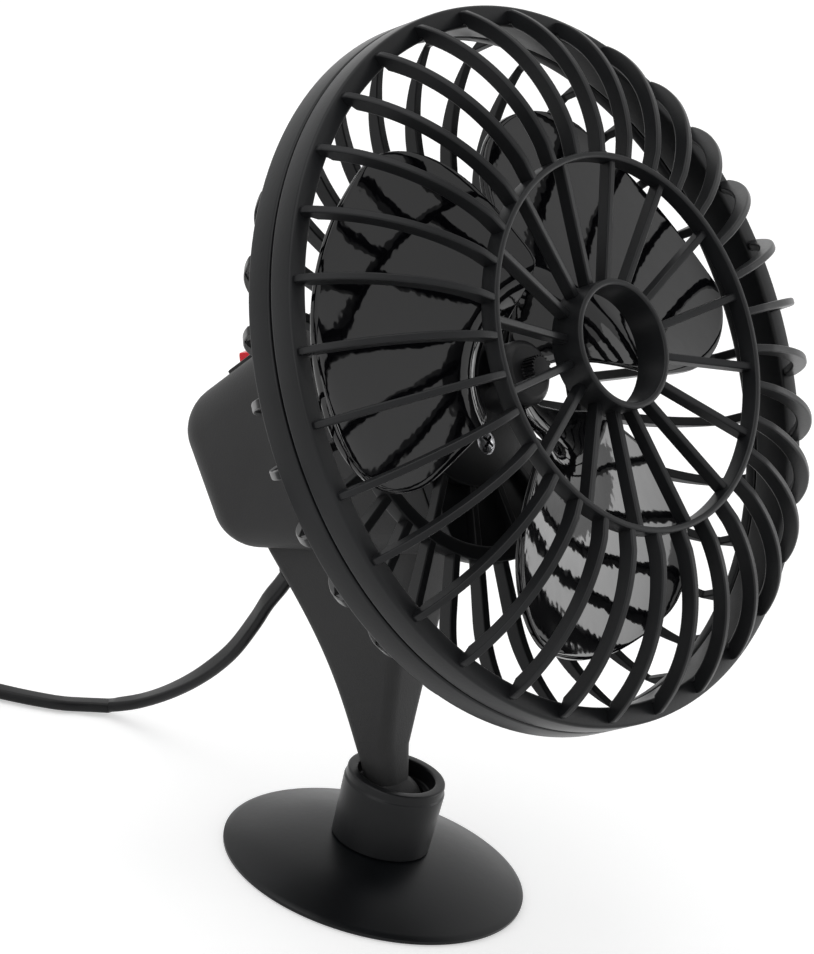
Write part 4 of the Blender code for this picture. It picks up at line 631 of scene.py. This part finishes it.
screw_profile = [(0, -0.0310), (SCREW_SHANK, -0.0300), (SCREW_SHANK, HEAD_SEAT)]
screw_profile += [(SCREW_HEAD, HEAD_SEAT), (SCREW_HEAD, HEAD_SHOULDER)]
screw_profile += dome(SCREW_HEAD, HEAD_SHOULDER, HEAD_CROWN)
screw_steel = moulded(
    "screw_zinc_plate", (0.50, 0.50, 0.52), (0.60, 0.60, 0.62), 400, 1600, (0.20, 0.32), 0.000004, 1.0
)
for node, side in (("plate_screw_upper", 1), ("plate_screw_lower", -1)):
    place = FAN @ Matrix.Translation((0, side * SCREW_OUT, 0))
    screw_mesh = turned(screw_profile, 40, closed=False)
    screw = shaped(node + "_pan_head", screw_mesh, screw_steel, "head", [node], place)
    for turn in (SCREW_TURN, SCREW_TURN + pi / 2):
        slot = prism(rectangle(0.0014, -0.0003, 0.0003), -0.0178, -0.0160)
        cut_away(screw, slot, place @ Matrix.Rotation(turn, 4, "Z"))
    screw.data.set_sharp_from_angle(angle=radians(35))

# Motor. It is a small brushed motor with a plated steel can, a white nylon end cap and bronze bushes.
# Inside turn a laminated core, three copper windings and a copper commutator on a ground steel shaft.
for finish, nodes in (
    (
        ("can_zinc_plate", (0.50, 0.50, 0.51), (0.58, 0.58, 0.59), 120, 1400, (0.26, 0.40), 0.000006, 1.0),
        ("motor_can", "armature_core"),
    ),
    (
        ("shaft_ground_steel", (0.58, 0.58, 0.59), (0.64, 0.64, 0.65),
         500, 2600, (0.16, 0.26), 0.000003, 1.0),
        ("motor_shaft",),
    ),
    (
        ("bush_sintered_bronze", (0.46, 0.30, 0.15), (0.56, 0.38, 0.20),
         700, 4000, (0.42, 0.58), 0.00002, 1.0),
        ("motor_bush_front", "motor_bush_rear"),
    ),
    (
        ("winding_copper", (0.58, 0.23, 0.11), (0.70, 0.31, 0.16), 260, 2200, (0.22, 0.38), 0.00002, 1.0),
        ("armature_winding_1", "armature_winding_2", "armature_winding_3", "commutator",
         "motor_brush_upper", "motor_brush_lower"),
    ),
    (
        ("magnet_ferrite", (0.030, 0.030, 0.032), (0.050, 0.050, 0.053), 220, 3200, (0.62, 0.80), 0.00004),
        ("motor_magnet_right", "motor_magnet_left"),
    ),
    (
        ("end_cap_nylon", (0.68, 0.67, 0.62), (0.76, 0.75, 0.71), 90, 1800, (0.38, 0.50), 0.00002),
        ("motor_end_cap",),
    ),
):
    dress(moulded(*finish), *nodes)
dress(tinned, "motor_terminal_upper", "motor_terminal_lower")

# Propeller. It is one glossy black moulding: three broad twisted blades with round corners on a small hub.
# The hub's nose is ribbed all round and closed over the end of the shaft. A slight ripple in the blades'
# gloss gives the reflections of the ribs their uneven edges.
BLADE_TIP, BLADE_ROOT, BLADE_FULL = 0.0520, 0.0050, 0.0195
BLADE_HOLLOW, BLADE_HALF = 0.0015, 0.00075
BLADE_CORNER, BLADE_TURN = 0.62, 113.3
BLADE_SPANS, BLADE_CHORDS = 44, 40
LEAD_ROOT, LEAD_FULL, LEAD_BITE = 34, 16, 31
TRAIL_ROOT, TRAIL_FULL, TRAIL_BITE = 96, 121, 13
ROOT_HEIGHT, ROOT_PITCH = -0.0065, 0.0030
FULL_HEIGHT, FULL_PITCH, FULL_CONE = -0.0073, 0.0062, 0.127
HUB_RADIUS, HUB_BACK, SHAFT_HOLE = 0.0060, -0.0110, 0.0013
NOSE_RADIUS, NOSE_BACK, NOSE_TEETH = 0.0021, -0.0020, 22


def blade_point(radius, chord):
    """A point on the middle surface of the first blade."""
    out = max((radius - BLADE_FULL) / (BLADE_TIP - BLADE_FULL), 0)
    corner = max((out - 1 + BLADE_CORNER) / BLADE_CORNER, 0)
    bite = 1 - sqrt(max(1 - corner**2, 0))
    lead = LEAD_FULL + 3 * out + LEAD_BITE * bite
    trail = TRAIL_FULL - 14 * out - TRAIL_BITE * bite
    root = min((radius - BLADE_ROOT) / (BLADE_FULL - BLADE_ROOT), 1)
    blend = root * root * (3 - 2 * root)
    lead = LEAD_ROOT + (lead - LEAD_ROOT) * blend
    trail = TRAIL_ROOT + (trail - TRAIL_ROOT) * blend
    turn = lead + (trail - lead) * chord
    wide = FULL_PITCH * radians(turn) - FULL_CONE * (radius - 0.0325)
    tight = ROOT_PITCH * radians(turn - 65)
    hollow = BLADE_HOLLOW * (1 - 6 * chord * (1 - chord)) * blend
    height = ROOT_HEIGHT + tight + (FULL_HEIGHT + wide - ROOT_HEIGHT - tight) * blend + hollow
    angle = radians(BLADE_TURN + turn)
    return Vector((radius * sin(angle), radius * cos(angle), height))


def blade(mesh, angle):
    """One blade as a plate with a rounded edge, turned to its place on the hub."""
    turn = Matrix.Rotation(-angle, 4, "Z")
    swing = [cos(pi * j / BLADE_CHORDS) for j in range(BLADE_CHORDS + 1)]
    chords = [(1 - c * (0.25 + 0.75 * abs(c))) / 2 for c in swing]
    rows = []
    for i in range(BLADE_SPANS + 1):
        share = sin(pi / 2 * i / BLADE_SPANS) ** 0.8
        radius = BLADE_ROOT + (BLADE_TIP - BLADE_ROOT) * share
        rows.append([turn @ blade_point(radius, chord) for chord in chords])
    front, rear = [], []
    for row in rows:
        from_tip = (BLADE_TIP - row[0].xy.length) / 0.0007
        front_row, rear_row = [], []
        for point in row:
            from_side = min((point - row[0]).length, (point - row[-1]).length) / 0.0006
            edge = min(from_side, max(from_tip, 0), 1)
            half = BLADE_HALF * (0.35 + 0.65 * sqrt(1 - (1 - edge) ** 2))
            front_row.append(mesh.verts.new(point + Vector((0, 0, half))))
            rear_row.append(mesh.verts.new(point - Vector((0, 0, half))))
        front.append(front_row)
        rear.append(rear_row)
    for grid in (front, rear):
        for i in range(BLADE_SPANS):
            for j in range(BLADE_CHORDS):
                mesh.faces.new((grid[i][j], grid[i + 1][j], grid[i + 1][j + 1], grid[i][j + 1]))
    walk = [(i, 0) for i in range(BLADE_SPANS)]
    walk += [(BLADE_SPANS, j) for j in range(BLADE_CHORDS)]
    walk += [(i, BLADE_CHORDS) for i in range(BLADE_SPANS, 0, -1)]
    walk += [(0, j) for j in range(BLADE_CHORDS, 0, -1)]
    for (i, j), (k, m) in zip(walk, walk[1:] + walk[:1]):
        mesh.faces.new((front[i][j], front[k][m], rear[k][m], rear[i][j]))


fan_mesh = bmesh.new()
for i in range(3):
    blade(fan_mesh, 2 * pi * i / 3)
hub_profile = [
    (SHAFT_HOLE, HUB_BACK), (HUB_RADIUS, HUB_BACK), (HUB_RADIUS, -0.0032), (0.0048, NOSE_BACK),
    (NOSE_RADIUS, NOSE_BACK), (NOSE_RADIUS, 0.0009), (0, 0.0009), (0, 0.0006), (SHAFT_HOLE, 0.0006),
]
turned(rounded(hub_profile, 0.0004), 96, mesh=fan_mesh)
tooth = [(0.0019, -0.00018), (0.0025, -0.00011), (0.0025, 0.00011), (0.0019, 0.00018)]
for i in range(NOSE_TEETH):
    prism(tooth, -0.0021, 0.0007, fan_mesh, Matrix.Rotation(2 * pi * i / NOSE_TEETH, 4, "Z"))
blade_gloss = moulded(
    "blade_piano_black", (0.0016, 0.0016, 0.0022), (0.0028, 0.0028, 0.0036),
    30, 110, (0.03, 0.06), 0.00009, shine=0.45,
)
nose_satin = moulded(
    "nose_satin_black", (0.0040, 0.0040, 0.0046), (0.0070, 0.0070, 0.0078),
    60, 1500, (0.34, 0.46), 0.00001, shine=0.25,
)
propeller = shaped(
    "three_blade_propeller", fan_mesh, blade_gloss, "rotor", ["fan_blade"], FAN, crease=50
)
propeller.data.materials.append(nose_satin)
to_fan = FAN.inverted() @ propeller.matrix_world
for face in propeller.data.polygons:
    middle = to_fan @ face.center
    if middle.xy.length < HUB_RADIUS + 0.0001 and middle.z > HUB_BACK - 0.0002:
        face.material_index = 1

# Suction cup. It is one moulding of soft black PVC with a satin dome and a thin seal lip.
# Its stem goes up inside the collar, and the underside is hollow.
SOCKET_RADIUS = 0.0066
LIP_RADIUS, LIP_TOP = 0.0291, 0.0010
HOLLOW_RADIUS, HOLLOW_HEIGHT = 0.0275, 0.0047
SHOULDER_RADIUS, SHOULDER_TOP = 0.0093, 0.0062
STEM_RADIUS, STEM_BORE, STEM_TOP = 0.0063, 0.0050, 0.0095
RIDGE_LOW, RIDGE_MIDDLE, RIDGE_HIGH = 0.0074, 0.0079, 0.0084
STAND = Matrix.Translation(FOOT)
quarter = [pi / 2 * i / 24 for i in range(25)]
cup_profile = [(HOLLOW_RADIUS * i / 24, HOLLOW_HEIGHT * cos(t)) for i, t in enumerate(quarter)]
cup_profile += [(0.0283, 0.00002), (0.0288, 0.00002), (0.02905, 0.0002)]
cup_profile += [(LIP_RADIUS, 0.0005), (LIP_RADIUS, 0.0008)]
for i in range(1, 33):
    share = i / 32
    swell = 0.6 * sin(share * pi / 2) + 0.4 * share
    radius = LIP_RADIUS - (LIP_RADIUS - SHOULDER_RADIUS) * share
    cup_profile.append((radius, LIP_TOP + (SHOULDER_TOP - LIP_TOP) * swell - 0.00002))
cup_profile += [(0.0065, SHOULDER_TOP), (STEM_RADIUS, 0.0064)]
cup_profile += [(STEM_RADIUS, RIDGE_LOW), (0.0067, RIDGE_MIDDLE), (STEM_RADIUS, RIDGE_HIGH)]
cup_profile += [(STEM_RADIUS, STEM_TOP), (STEM_BORE, STEM_TOP + 0.0001)]
for i in range(1, 13):
    turn = asin(STEM_BORE / SOCKET_RADIUS) * (1 - i / 12)
    cup_profile.append((SOCKET_RADIUS * sin(turn), BALL_HEIGHT - SOCKET_RADIUS * cos(turn)))
cup_pvc = moulded(
    "cup_soft_pvc", (0.0024, 0.0028, 0.0034), (0.0042, 0.0049, 0.0060),
    55, 900, (0.30, 0.40), 0.000012, shine=0.22,
)
cup_mesh = turned(cup_profile, 160, closed=False)
shaped("cup_moulding", cup_mesh, cup_pvc, "base", ["suction_cup"], STAND)

# Socket collar. It is a sleeve of black plastic that turns on the cup's stem and holds the ball.
# A fine step runs round it under its rounded top, and its mouth is open above the ball.
COLLAR_RADIUS, COLLAR_WIDEST = 0.0094, 0.0097
COLLAR_FOOT, COLLAR_TOP = 0.0065, 0.0202
MOUTH_RADIUS, MOUTH_FLOOR, THROAT_RADIUS = 0.0074, 0.0170, 0.00605
collar_outside = [
    (COLLAR_RADIUS, COLLAR_FOOT), (COLLAR_WIDEST, 0.01815), (COLLAR_RADIUS, 0.0185),
    (COLLAR_RADIUS, COLLAR_TOP), (MOUTH_RADIUS, COLLAR_TOP), (MOUTH_RADIUS, MOUTH_FLOOR),
    (THROAT_RADIUS, MOUTH_FLOOR),
]
collar_profile = rounded(collar_outside, 0.0005, closed=False, steps=4)
throat_turn = asin(THROAT_RADIUS / SOCKET_RADIUS)
for i in range(1, 9):
    turn = throat_turn + (pi / 2 - throat_turn) * i / 8
    collar_profile.append((SOCKET_RADIUS * sin(turn), BALL_HEIGHT + SOCKET_RADIUS * cos(turn)))
collar_profile += [(SOCKET_RADIUS, RIDGE_HIGH), (0.0071, RIDGE_MIDDLE), (SOCKET_RADIUS, RIDGE_LOW)]
collar_profile.append((SOCKET_RADIUS, COLLAR_FOOT))
collar_mesh = turned(collar_profile, 128)
shaped("ball_collar", collar_mesh, guard_satin, "swivel", ["socket_collar"], STAND)

# Strain relief. It is a short tapered grommet of soft PVC that is moulded on the cord.
# It comes out of the stalk's back face, bends down with the cord, and has two grooves to let it flex.
RELIEF_SHARES = (0.06, 0.18)
RELIEF_DIP = radians(16)
RELIEF_BEND = 0.0040 / RELIEF_DIP
RELIEF_RADIUS, RELIEF_TAPER = 0.0027, 0.0005
RELIEF_STEPS, RELIEF_SIDES = 32, 40


def circle(radius, count):
    """Points evenly round a circle."""
    turns = [2 * pi * k / count for k in range(count)]
    return [(radius * cos(t), radius * sin(t)) for t in turns]


relief_ends = [Vector((0, stalk_level(stalk_edge(d, -1), d), stalk_edge(d, -1))) for d in RELIEF_SHARES]
relief_lean = atan2(relief_ends[1].z - relief_ends[0].z, relief_ends[0].y - relief_ends[1].y)
relief_inward = Vector((0, -sin(relief_lean), -cos(relief_lean)))
relief_foot = (relief_ends[0] + relief_ends[1]) / 2 + relief_inward * HAIR
RELIEF_FRAME = FAN @ Matrix.Translation(relief_foot) @ Matrix.Rotation(pi - relief_lean, 4, "X")
cord_satin = moulded(
    "cord_satin_pvc", (0.0050, 0.0050, 0.0056), (0.0090, 0.0090, 0.0098),
    90, 1800, (0.32, 0.46), 0.00002, shine=0.2,
)
relief_rings = []
for i in range(RELIEF_STEPS + 1):
    share = i / RELIEF_STEPS
    dip = RELIEF_DIP * share
    out, down = RELIEF_BEND * sin(dip), RELIEF_BEND * (1 - cos(dip))
    radius = RELIEF_RADIUS - RELIEF_TAPER * share
    for groove in (0.42, 0.68):
        radius -= 0.00045 * max(1 - abs(share - groove) / 0.07, 0)
    if i == RELIEF_STEPS:
        radius -= 0.0002
    relief_rings.append(
        [(x, down + y * cos(dip), out - y * sin(dip)) for x, y in circle(radius, RELIEF_SIDES)]
    )
relief_mesh = skinned(relief_rings)
shaped("cord_grommet", relief_mesh, cord_satin, "head", ["strain_relief"], RELIEF_FRAME)

# Power cord. It is a flat twin flex, two cores side by side in satin black PVC with a groove between them.
# It drops from the stalk to the table, runs out to the left, lies there in a tied coil and ends in the plug.
# Its route is the one that the CAD part follows, with more points on it.
CORD_WIDE, CORD_THIN, CORD_LIFT = 0.0036, 0.0022, 0.0009
CORD_STEP, CORD_ROUTE_STEP = 0.0016, 0.0065
COIL_LOOPS = 4
COIL_PITCH, COIL_MIDDLE, COIL_CLIMB, COIL_EDGE = 0.0028, 0.0198, 0.0043, 0.0277
COIL_CENTRE = FOOT + Vector((-0.0640, 0.0860, 0))
COIL_START = radians(43)
COIL_LOW = CORD_LIFT + CORD_WIDE / 2
COIL_TURNS = 2 * COIL_LOOPS + 97 / 360
CORD_TAIL, PLUG_AXIS_HEIGHT = 0.0270, 0.0105


def flowing(points):
    """Points about one step apart on a smooth curve through the route's points."""
    points = [Vector(p) for p in points]
    padded = [2 * points[0] - points[1], *points, 2 * points[-1] - points[-2]]
    made = []
    for before, start, end, after in zip(padded, padded[1:], padded[2:], padded[3:]):
        count = max(round((end - start).length / CORD_STEP), 1)
        for i in range(count):
            t = i / count
            bend = (2 * before - 5 * start + 4 * end - after) * t**2
            twist = (3 * start - before - 3 * end + after) * t**3
            made.append((2 * start + (end - before) * t + bend + twist) / 2)
    return made + [points[-1]]


def coil_line(a_turn):
    """The coil's line: in along the low layer, up a layer at the inner turn, out along the high one."""
    inner = COIL_MIDDLE - COIL_PITCH * (COIL_LOOPS - 1) / 2
    outer = inner + COIL_PITCH * (COIL_LOOPS - 0.5)
    turns_in = COIL_LOOPS - 0.25
    climb = 0.5
    count = round(COIL_TURNS * a_turn)
    made = []
    for i in range(count + 1):
        turned_by = COIL_TURNS * i / count
        rise = min(max((turned_by - turns_in) / climb, 0), 1)
        rise = rise * rise * (3 - 2 * rise)
        if turned_by < turns_in + climb / 2:
            radius = outer - COIL_PITCH * turned_by
        else:
            radius = outer - COIL_PITCH * (2 * turns_in + climb - turned_by)
        tuck = min(abs(turned_by - turns_in - climb / 2) / 0.42, 1)
        radius -= 0.0018 * (1 - tuck**2) ** 2
        angle = COIL_START + 2 * pi * turned_by
        height = COIL_LOW + COIL_CLIMB * rise
        made.append(COIL_CENTRE + Vector((radius * cos(angle), radius * sin(angle), height)))
    first = made[0] + (made[0] - made[1]).normalized() * CORD_WIDE
    last = made[-1] + (made[-1] - made[-2]).normalized() * CORD_WIDE
    return [first, *made, last]


def twin_flex_section(count):
    """Outline of the twin flex: two round cores that meet in a groove on each flat side."""
    core = CORD_THIN / 2
    offset = CORD_WIDE / 2 - core
    made = []
    for i in range(count):
        turn = 2 * pi * i / count
        side = cos(turn)
        wide = (offset if side >= 0 else -offset) + core * side
        thin = core * sin(turn)
        groove = 1 - 0.45 * max(1 - abs(wide) / 0.0009, 0) ** 1.5
        made.append((wide, thin * groove))
    return made


def flex_tube(points, rolls, section):
    """Sweep the section along a path. A roll of 0 stands it on edge, and one of 90 lays it flat."""
    rings = []
    for i, point in enumerate(points):
        ahead = points[min(i + 1, len(points) - 1)] - points[max(i - 1, 0)]
        ahead.normalize()
        upright = Vector((0, 0, 1)) - ahead * ahead.z
        upright.normalize()
        sideways = ahead.cross(upright)
        roll = radians(rolls[i])
        tall = upright * cos(roll) + sideways * sin(roll)
        flat = ahead.cross(tall)
        rings.append([point + tall * a + flat * b for a, b in section])
    return skinned(rings)


def rolls_along(points, start, middle, end):
    """Roll of each point from the start over the middle to the end of a path."""
    shares = [2 * i / (len(points) - 1) for i in range(len(points))]
    return [start + (middle - start) * s if s < 1 else middle + (end - middle) * (s - 1) for s in shares]


relief_out, relief_down = RELIEF_BEND * sin(RELIEF_DIP), RELIEF_BEND * (1 - cos(RELIEF_DIP))
CORD_EXIT_FRAME = (
    RELIEF_FRAME @ Matrix.Translation((0, relief_down, relief_out)) @ Matrix.Rotation(-RELIEF_DIP, 4, "X")
)
cord_exit = CORD_EXIT_FRAME @ Vector((0, 0, HAIR))
cord_straight = CORD_EXIT_FRAME @ Vector((0, 0, HAIR + CORD_WIDE))
cord_fall_route = [
    FOOT + Vector(p)
    for p in (
        (-0.0066, 0.0350, 0.0408), (-0.0060, 0.0376, 0.0348), (-0.0054, 0.0420, 0.0262),
        (-0.0049, 0.0484, 0.0178), (-0.0047, 0.0553, 0.0108), (-0.0052, 0.0618, 0.0055),
        (-0.0070, 0.0670, 0.0023),
    )
]
cord_split = FOOT + Vector((-0.0101, 0.0700, 0.0014))
cord_floor_route = [
    FOOT + Vector(p)
    for p in ((-0.0162, 0.0736, 0.0013), (-0.0219, 0.0790, 0.0013), (-0.0290, 0.0868, 0.0016))
]
along_table = (cord_floor_route[0] - cord_fall_route[-1]).normalized() * CORD_WIDE
flex_outline = twin_flex_section(28)

fall_line = flowing([cord_exit, cord_straight, *cord_fall_route, cord_split - along_table]) + [cord_split]
fall_mesh = flex_tube(fall_line, rolls_along(fall_line, 0, 20, 90), flex_outline)
cord_fall = shaped("power_cord_drop", fall_mesh, cord_satin, None, ["power_cord_fall"])
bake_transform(cord_fall)

# The coil's middle is finer than the CAD's, and its ends are the CAD's, which puts the plug on its solid.
cad_coil = coil_line(24)
coil = cad_coil[:3] + coil_line(72)[5:-5] + cad_coil[-3:]
before_coil = coil[0] + (coil[0] - coil[1]).normalized() * CORD_ROUTE_STEP
run_line = [cord_split] + flowing([cord_split + along_table, *cord_floor_route, before_coil, coil[0]])
heading = (coil[-1] - coil[-2]).normalized()
heading = Vector((heading.x, heading.y, 0)).normalized()
tail_end = coil[-1] + heading * CORD_TAIL
tail_end.z = PLUG_AXIS_HEIGHT
tail_line = flowing(
    [coil[-1], coil[-1] + heading * CORD_ROUTE_STEP, tail_end - heading * CORD_ROUTE_STEP, tail_end]
)
tail_line[-1] -= heading * HAIR
whole_line = run_line + coil[1:] + tail_line[1:]
whole_rolls = rolls_along(run_line, 90, 80, 0) + [0] * (len(coil) + len(tail_line) - 2)
cord_run = shaped(
    "power_cord_stored", flex_tube(whole_line, whole_rolls, flex_outline), cord_satin, None,
    ["power_cord_floor", "power_cord_coil", "power_cord_tail"],
)
toward_coil = COIL_CENTRE - cord_split
toward_coil.z = 0
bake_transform(cord_run)

# Cord tie. It is a strip of soft black PVC with a wire in it, wrapped once round all the turns.
# Its two edges are rounded and the wire shows as a low rib along its middle.
TIE_WIDE = 0.0045
TIE_THIN = 0.0005
TIE_TURN = radians(292)
coil_reach = [(point - COIL_CENTRE).xy.length for point in cad_coil[1:-1]]
tie_near = min(coil_reach) - CORD_THIN / 2 - HAIR
tie_far = max(coil_reach) + CORD_THIN / 2 + HAIR
tie_low = CORD_LIFT - HAIR
tie_high = COIL_LOW + COIL_CLIMB + CORD_WIDE / 2 + HAIR
tie_half = (tie_far - tie_near) / 2
tie_rings = []
for along, proud in (
    (-0.50, 0.00), (-0.50, 0.60), (-0.46, 0.86), (-0.22, 0.90), (-0.12, 1.00),
    (0.12, 1.00), (0.22, 0.90), (0.46, 0.86), (0.50, 0.60), (0.50, 0.00),
):
    out = TIE_THIN * proud
    outline = soft_box(tie_half + out, tie_low - out, tie_high + out, 0.0006 + out, 5)
    tie_rings.append([((tie_near + tie_far) / 2 + x, along * TIE_WIDE, z) for x, z in outline])
tie_pose = Matrix.Translation(COIL_CENTRE) @ Matrix.Rotation(TIE_TURN, 4, "Z")
tie_satin = moulded(
    "tie_soft_pvc", (0.012, 0.012, 0.012), (0.020, 0.020, 0.020), 300, 4000, (0.45, 0.60), 0.00002
)
tie_mesh = skinned(tie_rings, closed=True)
coil_tie = shaped("coil_tie", tie_mesh, tie_satin, "base", ["cord_tie"], tie_pose)

# Lighter plug. A ridged grip of black plastic with a screw nut at its nose, made of the same plastic.
# A plated pin stands out of the nut and presses on a spring of coiled wire.
# Two plated springs bulge from the barrel's sides.
PLUG_GRIP, PLUG_BARREL, PLUG_BORE = 0.0105, 0.0098, 0.0034
BOOT_RADIUS, BOOT_TAPER, BOOT_LENGTH = 0.0026, 0.0016, 0.0137
SIDE_SPRING_BACK, SIDE_SPRING_LENGTH, SIDE_SPRING_SEAT = 0.0455, 0.0100, 0.0086
NUT_BACK, NUT_BORE, NUT_EYE = 0.0573, 0.0033, 0.0026
PIN_RADIUS, PIN_HEAD, PIN_CROWN = 0.0023, 0.0030, 0.0020
PIN_BACK, PIN_SHOULDER = 0.0603, 0.0688
SPRING_BACK, SPRING_FRONT = 0.0486, 0.0600
SPRING_MIDDLE, SPRING_WIRE, SPRING_TURNS = 0.0022, 0.00038, 7
PLUG = Matrix.Translation(tail_end) @ heading.to_track_quat("Z", "Y").to_matrix().to_4x4()
UPRIGHT = Matrix(((1, 0, 0, 0), (0, 0, -1, 0), (0, 1, 0, 0), (0, 0, 0, 1)))


def grooved(piece, count, start, out, radius, sides, low, high):
    """Cut straight grooves along a round piece, evenly round it."""
    grooves = bmesh.new()
    outline = circle(radius, sides)
    for i in range(count):
        turn = Matrix.Rotation(2 * pi * (i + start) / count, 4, "Z")
        prism(outline, low, high, grooves, turn @ Matrix.Translation((out, 0, 0)))
    cut_away(piece, grooves, PLUG)


plug_black = moulded(
    "plug_black_plastic", (0.011, 0.011, 0.012), (0.018, 0.018, 0.019), 40, 2200, (0.30, 0.42), 0.00002
)
plated = moulded(
    "plug_nickel", (0.62, 0.60, 0.56), (0.70, 0.68, 0.64), 220, 900, (0.16, 0.30), 0.000004, 1.0
)
boot_profile = [(0, 0)]
for i in range(41):
    share = i / 40
    radius = BOOT_RADIUS + BOOT_TAPER * share
    if 0.08 < share < 0.92 and (share * 5) % 1 < 0.42:
        radius -= 0.0006
    boot_profile.append((radius, BOOT_LENGTH * share))
boot_profile.append((0, BOOT_LENGTH))
boot_mesh = turned(boot_profile, 48, closed=False)
plug_boot = shaped("plug_boot", boot_mesh, cord_satin, "base", ["plug_strain_relief"], PLUG)

body_outline = [
    (0, 0.0140), (0.0048, 0.0140), (0.0093, 0.0180), (PLUG_GRIP, 0.0220), (PLUG_GRIP, 0.0380),
    (PLUG_BARREL, 0.0420), (PLUG_BARREL, 0.0570), (PLUG_BORE, 0.0570), (PLUG_BORE, 0.0280), (0, 0.0280),
]
body_profile = rounded(body_outline, 0.0008, closed=False, steps=4)
body_mesh = turned(body_profile, 96, closed=False)
plug_body = shaped("plug_grip", body_mesh, plug_black, "base", ["plug_body"], PLUG)
grooved(plug_body, 20, 0.5, PLUG_GRIP + 0.0003, 0.0007, 8, 0.0215, 0.0375)
seats = bmesh.new()
for side in (1, -1):
    near, far = sorted((side * 0.0083, side * 0.0115))
    prism([(near, -0.0025), (far, -0.0025), (far, 0.0025), (near, 0.0025)], 0.0452, 0.0558, seats)
cut_away(plug_body, seats, PLUG)
plug_body.data.set_sharp_from_angle(angle=radians(35))

bow = [(SIDE_SPRING_SEAT, SIDE_SPRING_BACK)]
for i in range(17):
    bow.append((0.0095 + 0.0014 * sin(pi * i / 16), SIDE_SPRING_BACK + SIDE_SPRING_LENGTH * i / 16))
bow.append((SIDE_SPRING_SEAT, SIDE_SPRING_BACK + SIDE_SPRING_LENGTH))
for word, turn in (("left", 0), ("right", pi)):
    contact = prism(bow, -0.0022, 0.0022, pose=Matrix.Rotation(turn, 4, "Z") @ UPRIGHT)
    name, node = "plug_side_spring_" + word, "plug_contact_" + word
    shaped(name, contact, plated, "base", [node], PLUG, edge=0.00015)

nut_outline = [
    (NUT_BORE, NUT_BACK), (PLUG_BARREL, NUT_BACK), (PLUG_BARREL, 0.0620), (0.0062, 0.0668),
    (NUT_EYE, 0.0668), (NUT_EYE, 0.0621), (NUT_BORE, 0.0621),
]
nut_mesh = turned(rounded(nut_outline, 0.0004), 96)
plug_nut = shaped("plug_ring_nut", nut_mesh, plug_black, "base", ["plug_nut"], PLUG)
grooved(plug_nut, 30, 0, PLUG_BARREL + 0.0001, 0.0004, 6, 0.0580, 0.0630)
plug_nut.data.set_sharp_from_angle(angle=radians(35))

pin_profile = [(0, PIN_BACK), (PIN_HEAD, PIN_BACK), (PIN_HEAD, 0.0617)]
pin_profile += [(PIN_RADIUS, 0.0617), (PIN_RADIUS, PIN_SHOULDER)]
pin_profile += dome(PIN_RADIUS, PIN_SHOULDER, PIN_CROWN)
pin_mesh = turned(pin_profile, 48, closed=False)
plug_pin = shaped("plug_pin", pin_mesh, plated, "plug_tip_body", ["plug_tip"], PLUG)

spring_steel = moulded(
    "spring_steel", (0.55, 0.55, 0.56), (0.62, 0.62, 0.63), 300, 1200, (0.22, 0.34), 0.000004, 1.0
)
spring_rings = []
spring_count = SPRING_TURNS * 24
for i in range(spring_count + 1):
    turn = 2 * pi * i / 24
    rise = SPRING_BACK + SPRING_WIRE + (SPRING_FRONT - SPRING_BACK - 2 * SPRING_WIRE) * i / spring_count
    wire = [(SPRING_MIDDLE + x, y) for x, y in circle(SPRING_WIRE, 10)]
    spring_rings.append([(reach * cos(turn), reach * sin(turn), rise + y) for reach, y in wire])
spring_mesh = skinned(spring_rings)
pin_spring = shaped(
    "plug_pin_spring", spring_mesh, spring_steel, "base", ["plug_spring"], PLUG, crease=60
)
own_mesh(pin_spring)

fuse_cap = moulded(
    "fuse_cap_nickel", (0.66, 0.65, 0.62), (0.72, 0.71, 0.68), 250, 1200, (0.18, 0.28), 0.000003, 1.0
)
dress(fuse_cap, "plug_fuse")
